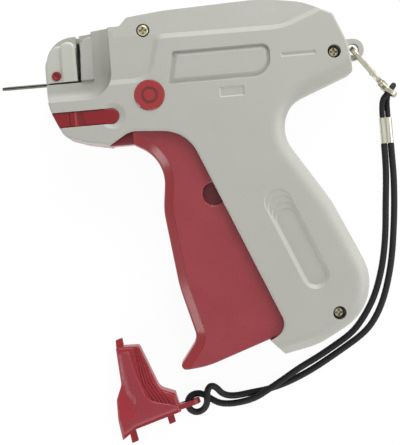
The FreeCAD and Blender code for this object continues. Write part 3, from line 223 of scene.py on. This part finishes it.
def braided_cord(name, route, diameter, reference):
    """Tube round the route, and the line that it follows. Its radius rises where one of two
    families of strands lies on top: the larger of cos(n a + k s) and cos(n a - k s), with a the
    angle round it and s the length along it."""
    centre, along = spline_points(route)
    heading = unit(np.gradient(centre, axis=0))
    side = unit(np.cross(heading, np.array(reference)))
    up = np.cross(side, heading)
    angle = np.linspace(0, 2 * np.pi, RING_POINTS, endpoint=False)
    phase = STRANDS * 2 * np.pi * along[:, None] / BRAID_PITCH
    strand = np.maximum(np.cos(STRANDS * angle + phase), np.cos(STRANDS * angle - phase))
    radius = diameter / 2 - BRAID_RELIEF * (1 - strand) / 2
    radius[[0, -1]] *= CUT_END
    turns, lengths = angle[None, :] / (2 * np.pi), along[:, None] / BRAID_PITCH
    uv = np.stack(np.broadcast_arrays(turns, lengths), axis=-1)
    return tube(name, centre, side, up, radius, uv), centre


# Dyed nylon yarn, braided: nearly black, with a dull sheen on the top of each strand and a fine
# unevenness of the yarn along it.
YARN_WIDTH = 0.152 * MM      # of one spot of the unevenness, and its length along the cord
YARN_RUN = 0.643 * MM
YARN_DEPTH = 0.1 * MM
YARN_TONES = ((0.3, "#080909"), (0.75, "#151617"))


def braided_nylon():
    """Material of both cords."""
    material, tree = blank_material("braided_black_nylon")
    where = add(tree, "ShaderNodeTexCoord").outputs["UV"]
    stretch = add(tree, "ShaderNodeMapping", {
        "Vector": where, "Scale": (math.pi * CORD_D / YARN_WIDTH, BRAID_PITCH / YARN_RUN, 1.0)})
    yarn = add(tree, "ShaderNodeTexNoise", {
        "Vector": stretch.outputs[0], "Scale": 1.0, "Detail": 3.0})
    tint = add(tree, "ShaderNodeValToRGB", {"Fac": yarn.outputs["Fac"]})
    for stop, (spot, code) in zip(tint.color_ramp.elements, YARN_TONES):
        stop.position = spot
        stop.color = linear(code)
    relief = add(tree, "ShaderNodeBump", {
        "Height": yarn.outputs["Fac"], "Strength": 0.35, "Distance": YARN_DEPTH})
    shader = add(tree, "ShaderNodeBsdfPrincipled", {
        "Base Color": tint.outputs["Color"], "Roughness": 0.62, "Normal": relief.outputs[0],
        "Sheen Weight": 0.06, "Sheen Roughness": 0.4, "Specular IOR Level": 0.3})
    add(tree, "ShaderNodeOutputMaterial", {"Surface": shader.outputs[0]})
    return material


nylon = braided_nylon()
strap, strap_line = braided_cord("strap_cord_braid", STRAP_ROUTE, CORD_D, STRAP_SIDE)
loop, loop_line = braided_cord("hook_loop_braid", LOOP_ROUTE, LOOP_D, LOOP_SIDE)
for piece, node_name in ((strap, "strap_cord"), (loop, "hook_loop_cord")):
    piece.data.materials.append(nylon)
    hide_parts(node_name)
    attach(piece, "strap")


# ======== Shells
# Two mouldings of light grey ABS, screwed together along the middle of the gun. The mould was
# spark eroded, which leaves a fine even grain with a soft gloss.
GRAIN = 0.9 * MM             # real grain is a tenth of this; drawn coarse enough to show
GRAIN_DEPTH = 0.08 * MM
DRIFT = 18 * MM              # size of the clouds of tone
GLOSS_SPREAD = 0.04          # how far the roughness drifts to either side
EDGE_ROUND = 0.35 * MM       # what moulding and handling leave of a sharp edge
FLAT_LEAN = 0.995            # cosine of the lean up to which nothing counts as an edge
EDGE_LEAN = math.cos(math.radians(25))       # and of the lean from which all is edge
NOISE_LOW = 0.3              # the values of a noise between which a material changes
NOISE_HIGH = 0.7
TONE_LOW = 0.75              # and those of the sum of two noises
TONE_HIGH = 1.25


def cad_object(node_name):
    """The Blender object of a CAD node."""
    return bpy.data.objects[node_name]


def dress(material, *names):
    """Give CAD pieces a material in all their slots."""
    for name in names:
        slots = cad_object(name).data.materials
        slots.clear()
        slots.append(material)


def worn_and_highlit_edge(tree, radius):
    """Normals that round every sharp edge, and how much a point lies on such an edge: 0 where the
    rounded normal leans little from the plain one, and 1 where it leans much."""
    rounded = add(tree, "ShaderNodeBevel", {"Radius": radius}, samples=6)
    plain = add(tree, "ShaderNodeNewGeometry")
    lean = add(tree, "ShaderNodeVectorMath", {
        0: rounded.outputs[0], 1: plain.outputs["Normal"]}, operation="DOT_PRODUCT")
    share = add(tree, "ShaderNodeMapRange", {
        "Value": lean.outputs["Value"], "From Min": FLAT_LEAN, "From Max": EDGE_LEAN})
    return rounded.outputs[0], share.outputs[0]


def moulded(name, base, mottle, edge, roughness, relief, ior=1.53, edge_round=EDGE_ROUND):
    """Moulded plastic: two near tones that drift over centimetres, the grain of the mould, and
    edges painted a paler tone, partly wear from handling and partly painted highlight."""
    material, tree = blank_material(name)
    where = add(tree, "ShaderNodeTexCoord").outputs["Object"]
    rounded, on_edge = worn_and_highlit_edge(tree, edge_round)
    drift = add(tree, "ShaderNodeTexNoise", {"Vector": where, "Scale": 1 / DRIFT, "Detail": 2.0})
    grain = add(tree, "ShaderNodeTexNoise", {"Vector": where, "Scale": 1 / GRAIN, "Detail": 2.0})
    blend = add(tree, "ShaderNodeMath", {
        0: drift.outputs["Fac"], 1: grain.outputs["Fac"]}, operation="ADD")
    tone = add(tree, "ShaderNodeMapRange", {
        "Value": blend.outputs[0], "From Min": TONE_LOW, "From Max": TONE_HIGH})
    tint = add(tree, "ShaderNodeMix", {
        "Factor": tone.outputs[0], "A": linear(base), "B": linear(mottle)}, data_type="RGBA")
    # Paler edge tone: partly wear from handling, partly painted highlight.
    rubbed_and_highlit = add(tree, "ShaderNodeMix", {
        "A": tint.outputs["Result"], "B": linear(edge)}, data_type="RGBA")
    tree.links.new(on_edge, rubbed_and_highlit.inputs["Factor"])
    bump = add(tree, "ShaderNodeBump", {
        "Height": grain.outputs["Fac"], "Strength": relief, "Distance": GRAIN_DEPTH,
        "Normal": rounded})
    gloss = add(tree, "ShaderNodeMapRange", {
        "Value": drift.outputs["Fac"], "From Min": NOISE_LOW, "From Max": NOISE_HIGH,
        "To Min": roughness - GLOSS_SPREAD, "To Max": roughness + GLOSS_SPREAD})
    shader = add(tree, "ShaderNodeBsdfPrincipled", {
        "Roughness": gloss.outputs[0], "IOR": ior, "Normal": bump.outputs[0]})
    tree.links.new(rubbed_and_highlit.outputs["Result"], shader.inputs["Base Color"])
    add(tree, "ShaderNodeOutputMaterial", {"Surface": shader.outputs[0]})
    return material


grey_abs = moulded("spark_eroded_grey_abs", "#B6B6AE", "#B2B2AA", "#C6C6BE",
                   roughness=0.46, relief=0.16)
dress(grey_abs, "left_housing", "right_housing")


# ======== Drive and feed inside the shells
# Turned steel pins and drawn rod; lever, carriage, wheel, rocker and guide moulded in natural
# acetal, which is white, waxy and slides without oil; springs of blued spring steel.
POLISHED = 0.07              # how much smoother than its roughness a metal gets in places
TARNISHED = 0.09             # and how much rougher
SMOOTHEST = 0.05             # roughness below which it never gets
STAIN_FROM = 0.45            # noise value from which the stain sets in


def drawn_metal(name, base, stain, roughness, brushed=0.0, grain=(1.6, 1.6, 1.6)):
    """Metal with a drawn or tumbled unevenness in its colour and gloss. The grain is the size of
    that unevenness in mm along each axis, long where the metal was drawn."""
    material, tree = blank_material(name)
    where = add(tree, "ShaderNodeTexCoord").outputs["Object"]
    fine = add(tree, "ShaderNodeMapping", {
        "Vector": where, "Scale": [1 / (size * MM) for size in grain]})
    wear = add(tree, "ShaderNodeTexNoise", {"Vector": fine.outputs[0], "Scale": 1.0, "Detail": 3.0})
    gloss = add(tree, "ShaderNodeMapRange", {
        "Value": wear.outputs["Fac"], "From Min": NOISE_LOW, "From Max": NOISE_HIGH,
        "To Min": max(SMOOTHEST, roughness - POLISHED), "To Max": roughness + TARNISHED})
    dull = add(tree, "ShaderNodeMapRange", {
        "Value": wear.outputs["Fac"], "From Min": STAIN_FROM, "From Max": NOISE_HIGH})
    tint = add(tree, "ShaderNodeMix", {"A": linear(base), "B": linear(stain)}, data_type="RGBA")
    tree.links.new(dull.outputs[0], tint.inputs["Factor"])
    shader = add(tree, "ShaderNodeBsdfPrincipled", {
        "Metallic": 1.0, "Roughness": gloss.outputs[0], "Anisotropic": brushed})
    tree.links.new(tint.outputs["Result"], shader.inputs["Base Color"])
    add(tree, "ShaderNodeOutputMaterial", {"Surface": shader.outputs[0]})
    return material


acetal = moulded("natural_acetal", "#E4E1D6", "#DAD6CA", "#E4E1D6",
                 roughness=0.38, relief=0.1, ior=1.48)
drawn_steel = drawn_metal("drawn_steel", "#A9A9AB", "#98979A", roughness=0.3, brushed=0.4)
spring_steel = drawn_metal("blued_spring_steel", "#6F7078", "#62636C", roughness=0.28, brushed=0.3)
dress(acetal, "drive_lever", "slider", "rod_guide", "feed_wheel", "feed_rocker")
dress(drawn_steel, "trigger_pivot_pin", "drive_lever_pin", "slider_pin", "pusher_rod",
      "feed_wheel_shaft")
dress(spring_steel, "lock_detent_spring", "feed_pawl", "check_spring")


# ======== Return spring
# Compression spring of blued spring wire between the trigger's web and a peg in the handle. Its end
# on the peg stays where it is.
COIL_START = place((3.65, 30.0, 14.0))      # on its axis, level with the wire's first end
COIL_LENGTH = 18.2 * MM      # between the middles of the wire's two ends
COIL_R = 3.4 * MM
COIL_TURNS = 5
WIRE_R = 0.45 * MM
WIRE_POINTS = 12
TURN_STEPS = 40


def return_spring():
    """Tube round a helix along x: y goes as the sine of the angle turned through, and z as minus
    its cosine."""
    turned = np.linspace(0, 2 * np.pi * COIL_TURNS, COIL_TURNS * TURN_STEPS + 1)
    rise = COIL_LENGTH / (2 * np.pi * COIL_TURNS)
    out = np.stack([np.zeros_like(turned), np.sin(turned), -np.cos(turned)], axis=1)
    heading = np.stack([
        np.full_like(turned, rise), COIL_R * np.cos(turned), COIL_R * np.sin(turned)], axis=1)
    centre = np.array(COIL_START) + COIL_R * out
    centre[:, 0] += rise * turned
    radius = np.full((len(turned), WIRE_POINTS), WIRE_R)
    return tube("return_spring_coil", centre, out, np.cross(out, unit(heading)), radius)


coil = return_spring()
coil.data.materials.append(spring_steel)
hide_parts("trigger_return_spring")
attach(coil, "gun")
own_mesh(coil)


# ======== Gate leaf
# Strip of blued spring steel that holds the hook's gate shut. One end is fixed in the hook, and the
# other lies on the gate. Its mesh is the node's, cut finer.
LEAF_FIXED = place((41.30, 108.80, 6.05))
LEAF_FREE = place((38.97, 112.09, 5.70))
LEAF_CUTS = 12
LEAF_SHARP = math.radians(40)        # edges that turn by more than this stay sharp
SAME_POINT = 0.001 * MM
ON_PLANE = 0.0001 * MM


def finer_mesh(node_name, cuts, above=-1.0):
    """Points and triangles of a node's mesh. Its faces that reach above a height are cut by
    planes, each given by a point and a normal."""
    solid = bmesh.new()
    solid.from_mesh(cad_object(node_name).data)
    bmesh.ops.remove_doubles(solid, verts=solid.verts[:], dist=SAME_POINT)
    faces = [f for f in solid.faces if max(v.co.z for v in f.verts) > above]
    geom = list({v for f in faces for v in f.verts}) + list({e for f in faces for e in f.edges})
    geom += faces
    for point, normal in cuts:
        geom = bmesh.ops.bisect_plane(
            solid, geom=geom, dist=ON_PLANE, plane_co=point, plane_no=normal)["geom"]
    bmesh.ops.triangulate(solid, faces=solid.faces[:])
    mesh = bpy.data.meshes.new(node_name)
    solid.to_mesh(mesh)
    solid.free()
    points = np.empty(len(mesh.vertices) * 3)
    mesh.vertices.foreach_get("co", points)
    corners = np.empty(len(mesh.loops), dtype=np.int32)
    mesh.loops.foreach_get("vertex_index", corners)
    bpy.data.meshes.remove(mesh)
    return points.reshape(-1, 3), corners.reshape(-1, 3).tolist()


def bending_leaf():
    """The leaf, cut across at even steps between its ends."""
    fixed, free = np.array(LEAF_FIXED), np.array(LEAF_FREE)
    steps = fixed + (free - fixed) * np.linspace(0, 1, LEAF_CUTS)[:, None]
    cuts = [(step, free - fixed) for step in steps.tolist()]
    made = smooth_object("gate_leaf", *finer_mesh("gate_spring", cuts))
    made.data.set_sharp_from_angle(angle=LEAF_SHARP)
    return made


leaf = bending_leaf()
leaf.data.materials.append(spring_steel)
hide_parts("gate_spring")
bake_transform(leaf)


# ======== Trigger
# One moulding of rose-red ABS with a bevelled finger edge. Its flat cheeks keep a chalky rose tone;
# what leans from them, the bevel most of all, is painted a deeper red as painted shade, and is
# glossier.
TRIGGER_ROUND = 1.3 * MM     # fingers have rounded its edges more than the shells'
SHADED_LEAN = math.cos(math.radians(30))   # cosine of the lean from which the painted shade is full


def laid_over(material, share, code, roughness):
    """Give a material a second tone and roughness, by a share from 0 to 1."""
    tree = material.node_tree
    shader = next(n for n in tree.nodes if n.type == "BSDF_PRINCIPLED")
    for socket, value, kind in (
            ("Base Color", linear(code), "RGBA"), ("Roughness", roughness, "FLOAT")):
        first = shader.inputs[socket].links[0].from_socket
        mix = add(tree, "ShaderNodeMix", {"A": first, "B": value}, data_type=kind)
        tree.links.new(share, mix.inputs["Factor"])
        tree.links.new(mix.outputs["Result"], shader.inputs[socket])


def painted_shade_on_bevel(material):
    """Lay a deeper red as painted shade, with a lower roughness, on what leans from the plane of
    the cheeks.
    """
    tree = material.node_tree
    skin = add(tree, "ShaderNodeNewGeometry").outputs["Normal"]
    own = add(tree, "ShaderNodeVectorTransform", {"Vector": skin}, vector_type="NORMAL",
              convert_from="WORLD", convert_to="OBJECT")
    parts = add(tree, "ShaderNodeSeparateXYZ", {"Vector": own.outputs[0]})
    flat = add(tree, "ShaderNodeMath", {0: parts.outputs["Z"]}, operation="ABSOLUTE")
    deeper_red = add(tree, "ShaderNodeMapRange", {
        "Value": flat.outputs[0], "From Min": 1.0, "From Max": SHADED_LEAN})
    # Deeper red on the leaning faces: painted shade.
    laid_over(material, deeper_red.outputs[0], "#930E1A", roughness=0.25)


rose_abs = moulded("rose_red_abs_with_painted_shade", "#9A3941", "#91333A", "#A3414A",
                   roughness=0.34, relief=0.14, ior=1.47, edge_round=TRIGGER_ROUND)
painted_shade_on_bevel(rose_abs)
dress(rose_abs, "trigger")


# ======== Housing screws
# Cross-head screws of zinc-plated steel, yellowed by passivation. Painted shade darkens the cross
# and the heads that sit deep in their counterbores, and the finish is rougher where it lies.
SHADE_REACH = 4 * MM
OPEN_SKY = 0.5               # share of the sky that has to be open within reach to keep it free of painted shade
PLATED_ROUGHNESS = 0.3
SHADED_ROUGHNESS = 0.7


def zinc_with_painted_shade():
    """Zinc plating, with painted shade and a rougher finish where little of the sky is open."""
    material, tree = blank_material("yellow_zinc_plating_painted_shade")
    sky_share = add(tree, "ShaderNodeAmbientOcclusion", {"Distance": SHADE_REACH}, samples=12)
    shade_share = add(tree, "ShaderNodeMapRange", {
        "Value": sky_share.outputs["AO"], "From Min": 0.0, "From Max": OPEN_SKY,
        "To Min": 1.0, "To Max": 0.0})
    # Dark tone where the sky is closed: painted shade.
    tint = add(tree, "ShaderNodeMix", {
        "A": linear("#B4AE90"), "B": linear("#3A3324")}, data_type="RGBA")
    tree.links.new(shade_share.outputs[0], tint.inputs["Factor"])
    gloss = add(tree, "ShaderNodeMapRange", {
        "Value": shade_share.outputs[0], "To Min": PLATED_ROUGHNESS, "To Max": SHADED_ROUGHNESS})
    shader = add(tree, "ShaderNodeBsdfPrincipled", {
        "Metallic": 1.0, "Roughness": gloss.outputs[0]})
    tree.links.new(tint.outputs["Result"], shader.inputs["Base Color"])
    add(tree, "ShaderNodeOutputMaterial", {"Surface": shader.outputs[0]})
    return material


dress(zinc_with_painted_shade(), "housing_screws")


# ======== Nose
# The guide block is grey acetal, held by a red pin; the needle is a rolled tube of hardened steel
# with a slot, in a red hub. The needle's dark tone is partly its heat treatment and partly painted
# shade.
block_grey = moulded("grey_acetal", "#C6C7BC", "#C0C1B6", "#D2D3C8", roughness=0.4, relief=0.12)
crimson = moulded("glossy_crimson_abs", "#880814", "#7E0712", "#A02C36",
                  roughness=0.33, relief=0.12, ior=1.47)
# Needle's dark tone: partly hardened steel, partly painted shade.
dark_steel = drawn_metal("hardened_needle_steel", "#6E6B66", "#5A5752", roughness=0.25)
dress(block_grey, "front_guide_block")
dress(crimson, "guide_block_pin", "needle_hub", "needle_lock_slide")
dress(dark_steel, "needle")


# ======== Badge
# A round disc of glossy red plastic pressed into its seat; a darker ring on it is painted shade.
BADGE_CENTRE = place((-56.5, 106.8, 0.0))
RING_INNER = 2.4 * MM
RING_OUTER = 3.6 * MM
BADGE_GRAIN = 1.2 * MM
BADGE_DEPTH = 0.05 * MM


def reach_from(tree, where, centre):
    """How far a point lies from a centre, seen from above."""
    flat = add(tree, "ShaderNodeVectorMath", {0: where, 1: (1.0, 1.0, 0.0)}, operation="MULTIPLY")
    return add(tree, "ShaderNodeVectorMath", {
        0: flat.outputs[0], 1: centre}, operation="DISTANCE").outputs["Value"]


def badge_with_painted_ring_shade():
    """Glossy red with a darker ring of painted shade."""
    material, tree = blank_material("glossy_red_disc_painted_ring_shade")
    where = add(tree, "ShaderNodeTexCoord").outputs["Object"]
    reach = reach_from(tree, where, BADGE_CENTRE)
    inside = add(tree, "ShaderNodeMath", {0: reach, 1: RING_INNER}, operation="GREATER_THAN")
    outside = add(tree, "ShaderNodeMath", {0: reach, 1: RING_OUTER}, operation="LESS_THAN")
    ring = add(tree, "ShaderNodeMath", {
        0: inside.outputs[0], 1: outside.outputs[0]}, operation="MULTIPLY")
    # Darker ring: painted shade of a sunk ring.
    tint = add(tree, "ShaderNodeMix", {
        "Factor": ring.outputs[0], "A": linear("#9A191D"), "B": linear("#761115")},
        data_type="RGBA")
    grain = add(tree, "ShaderNodeTexNoise", {"Vector": where, "Scale": 1 / BADGE_GRAIN})
    bump = add(tree, "ShaderNodeBump", {
        "Height": grain.outputs["Fac"], "Strength": 0.08, "Distance": BADGE_DEPTH})
    shader = add(tree, "ShaderNodeBsdfPrincipled", {
        "Roughness": 0.28, "IOR": 1.5, "Coat Weight": 0.3, "Coat Roughness": 0.1,
        "Normal": bump.outputs[0]})
    tree.links.new(tint.outputs["Result"], shader.inputs["Base Color"])
    add(tree, "ShaderNodeOutputMaterial", {"Surface": shader.outputs[0]})
    return material


dress(badge_with_painted_ring_shade(), "type_badge")


# ======== Hook, eye and sleeve
# Zinc die castings, nickel plated over a satin ground, and a sleeve crimped from drawn sheet, which
# keeps fine lines along its length; its dark streaks along the length are also painted reflection
# bands.
satin_nickel = drawn_metal("satin_nickel_plating", "#B6B3A0", "#98947F",
                           roughness=0.26, grain=(5, 5, 5))
# Dark streaks along the sleeve: drawn lines and painted reflection bands.
crimped_sheet = drawn_metal("crimped_nickel_sheet", "#D2D0BE", "#8B897A",
                            roughness=0.2, grain=(1.1, 40, 1.1))
dress(satin_nickel, "hook_body", "hook_gate", "gate_rivet", "swivel_eye")
dress(crimped_sheet, "ferrule")


# ======== Needle cap
# One moulding of crimson plastic with swept grooves. Its mesh is the node's, cut finer, and lowered
# where the ridge falls away softly to the left, where the thumb pushes, and to the front. The ridge
# keeps the base tone; all below it is a deeper red, and the thumb's dish the same red as painted
# shade.
CAP_TOP = 13.6 * MM
CAP_LEDGE = 11.8 * MM        # top of the grooved side, below which nothing is lowered
LEDGE_MARGIN = 0.01 * MM
CAP_CELL = 0.6 * MM          # distance of the cuts
CAP_SHARP = math.radians(32)
FALL = 1.65 * MM             # how far the ridge falls to the left, and over what width
FALL_WIDTH = 4.4 * MM
RIM_FALL = 0.5 * MM          # step at the rim of the thumb's place
RIM_WIDTH = 1.1 * MM
RIM_SPAN = np.array([-36.0, -31.0, -22.0, -18.5]) * MM      # y where it begins, is full, and ends
FRONT_FALL = 0.8 * MM
FRONT_WIDTH = 3.0 * MM
THUMB_PLACE = place((-79.8, -25.4, 0.0))
THUMB_REACH = 6.6 * MM
THUMB_CORE = 0.6             # share of the reach within which the painted shade of the thumb's place is full
FULL_DEEP_RED_UP_TO = 0.1 * MM         # height above the ledge up to which all is the deeper red
BASE_TONE_FROM = 0.4 * MM           # and from which all keeps the base tone
GROOVE_FLOOR = 11.25 * MM
GROOVE_RAISE = 0.25 * MM     # what dust has filled of the grooves
CREST = np.array([           # where the fall begins: y and x in mm, from front to back
    (-36.0, -82.5), (-34.0, -81.6), (-31.6, -80.4), (-28.4, -78.1),
    (-26.7, -76.0), (-24.0, -74.0), (-21.1, -73.9), (-18.5, -75.0),
    (-12.0, -76.1), (-6.3, -76.9), (-3.0, -77.3), (0.0, -77.6)]) * MM
FRONT_EDGE = np.array([      # front edge of the ridge: x and y in mm
    (-80.7, -37.2), (-75.0, -33.6), (-56.5, -28.0)]) * MM


def smooth_step(t):
    """From 0 to 1, level at both ends."""
    t = np.clip(t, 0, 1)
    return t * t * (3 - 2 * t)


def ridge_drop(x, y):
    """How far the ridge is lowered: a smooth step to the left of the crest, a sharper one at the
    thumb's place, and a parabola that ends level at its width from the front edge. They share the
    height, so they never add past it."""
    reach = np.interp(y, *CREST.T) - x
    left = smooth_step(reach / FALL_WIDTH) * FALL
    rim = smooth_step(reach / RIM_WIDTH) * RIM_FALL * np.interp(y, RIM_SPAN, (0, 1, 1, 0))
    front = np.clip(1 - (y - np.interp(x, *FRONT_EDGE.T)) / FRONT_WIDTH, 0, 1) ** 2 * FRONT_FALL
    height = CAP_TOP - CAP_LEDGE
    return height * (1 - (1 - left / height) * (1 - rim / height) * (1 - front / height))


def fallen_cap():
    """The cap with its ridge lowered: what stands above the ledge keeps a share of its height."""
    low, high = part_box("needle_cap")
    cuts = []
    for axis in (0, 1):
        facing = [float(axis == i) for i in range(3)]
        for step in np.arange(low[axis] + CAP_CELL, high[axis], CAP_CELL):
            cuts.append(([float(step) * f for f in facing], facing))
    points, triangles = finer_mesh("needle_cap", cuts, above=CAP_LEDGE + LEDGE_MARGIN)
    share = 1 - ridge_drop(points[:, 0], points[:, 1]) / (CAP_TOP - CAP_LEDGE)
    above = points[:, 2] > CAP_LEDGE
    points[above, 2] = CAP_LEDGE + (points[above, 2] - CAP_LEDGE) * share[above]
    points[np.abs(points[:, 2] - GROOVE_FLOOR) < LEDGE_MARGIN, 2] += GROOVE_RAISE
    made = smooth_object("needle_cap_moulding", points, triangles)
    made.data.set_sharp_from_angle(angle=CAP_SHARP)
    return made


def deeper_red_and_dish_shade(material):
    """Lay the deeper red on all below the ridge, and on the thumb's place as painted shade, fading
    at its rim.
    """
    tree = material.node_tree
    where = add(tree, "ShaderNodeTexCoord").outputs["Object"]
    height = add(tree, "ShaderNodeSeparateXYZ", {"Vector": where}).outputs["Z"]
    below = add(tree, "ShaderNodeMapRange", {
        "Value": height, "From Min": CAP_LEDGE + BASE_TONE_FROM, "From Max": CAP_LEDGE + FULL_DEEP_RED_UP_TO})
    thumb = add(tree, "ShaderNodeMapRange", {
        "Value": reach_from(tree, where, THUMB_PLACE), "From Min": THUMB_REACH,
        "From Max": THUMB_CORE * THUMB_REACH})
    deeper_red = add(tree, "ShaderNodeMath", {
        0: below.outputs[0], 1: thumb.outputs[0]}, operation="MAXIMUM")
    # Deeper red below the ridge; in the thumb's dish it is painted shade.
    laid_over(material, deeper_red.outputs[0], "#A02832", roughness=0.36)


cap_red = moulded("moulded_crimson_cap", "#9B343E", "#932E38", "#AC4852",
                  roughness=0.34, relief=0.12, ior=1.44)
deeper_red_and_dish_shade(cap_red)
cap = fallen_cap()
cap.data.materials.append(cap_red)
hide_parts("needle_cap")
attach(cap, "strap")


# ======== Floor and light
# A white sweep of card, lit from four sides by low soft boxes. Seen directly it is plain white, and
# it keeps a faint shadow under the gun.
FLOOR_HALF = 1.5             # metres
FLOOR_DEPTH = 0.2 * MM       # below what rests on it, so that no face lies in its plane
CARD_GREY = 0.86
SHADOW_SHARE = 0.09          # how much of the floor's look comes from the light that falls on it
CARD_GLOW = 1.04             # makes up for what that share loses
AMBIENT = 0.35               # level of the light from all round
WHITE = (1.0, 1.0, 1.0, 1.0)
MIDDLE = (-0.04, 0.05, 0.0)  # what the lamps face
LAMP_UP = (0.0, 1.0, 0.001)
SOFT_BOXES = (               # place and side of the square in metres, and power in watts
    ("back_box", (0.14, 0.66, 0.30), 0.5, 4.3),
    ("right_box", (0.58, 0.02, 0.28), 0.5, 1.8),
    ("front_box", (0.02, -0.60, 0.20), 0.5, 1.7),
    ("left_box", (-0.66, -0.27, 0.13), 0.3, 1.7),
)


def seen_directly(tree):
    """1 for rays from the camera, from mirrors and through glass, and 0 for light on the object."""
    path = add(tree, "ShaderNodeLightPath")
    some = add(tree, "ShaderNodeMath", {
        0: path.outputs["Is Camera Ray"], 1: path.outputs["Is Glossy Ray"]}, operation="MAXIMUM")
    return add(tree, "ShaderNodeMath", {
        0: some.outputs[0], 1: path.outputs["Is Transmission Ray"]}, operation="MAXIMUM").outputs[0]


def white_card():
    """Floor material: a matt card that looks plain white when it is seen directly."""
    material, tree = blank_material("white_card")
    card = add(tree, "ShaderNodeBsdfDiffuse", {"Color": (CARD_GREY, CARD_GREY, CARD_GREY, 1.0)})
    glow = add(tree, "ShaderNodeEmission", {"Color": WHITE, "Strength": CARD_GLOW})
    share = add(tree, "ShaderNodeMath", {
        0: seen_directly(tree), 1: 1 - SHADOW_SHARE}, operation="MULTIPLY")
    both = add(tree, "ShaderNodeMixShader", {
        0: share.outputs[0], 1: card.outputs[0], 2: glow.outputs[0]})
    add(tree, "ShaderNodeOutputMaterial", {"Surface": both.outputs[0]})
    return material


floor_corners = np.array([(-1, -1, 0), (1, -1, 0), (1, 1, 0), (-1, 1, 0)]) * FLOOR_HALF
floor_corners[:, 2] = -FLOOR_DEPTH
floor = smooth_object("floor", floor_corners, [[0, 1, 2, 3]])
floor.data.materials.append(white_card())

world = bpy.data.worlds.new("studio")
bpy.context.scene.world = world
world.use_nodes = True
sky = world.node_tree
sky.nodes.clear()
level = add(sky, "ShaderNodeMapRange", {
    "Value": seen_directly(sky), "To Min": AMBIENT, "To Max": 1.0})
dome = add(sky, "ShaderNodeBackground", {"Color": WHITE, "Strength": level.outputs[0]})
add(sky, "ShaderNodeOutputWorld", {"Surface": dome.outputs[0]})


def soft_box(name, spot, size, power):
    """Square lamp at a spot, facing the middle: its own z axis points away from there."""
    lamp = bpy.data.lights.new(name, "AREA")
    lamp.shape = "SQUARE"
    lamp.size = size
    lamp.energy = power
    holder = bpy.data.objects.new(name, lamp)
    holder.location = spot
    back = unit(np.array(spot) - np.array(MIDDLE))
    across = unit(np.cross(LAMP_UP, back))
    rise = np.cross(back, across)
    turn = [[float(across[i]), float(rise[i]), float(back[i])] for i in range(3)]
    holder.rotation_euler = Matrix(turn).to_euler()
    bpy.context.collection.objects.link(holder)


for box in SOFT_BOXES:
    soft_box(*box)

bpy.context.scene.view_settings.view_transform = "Standard"
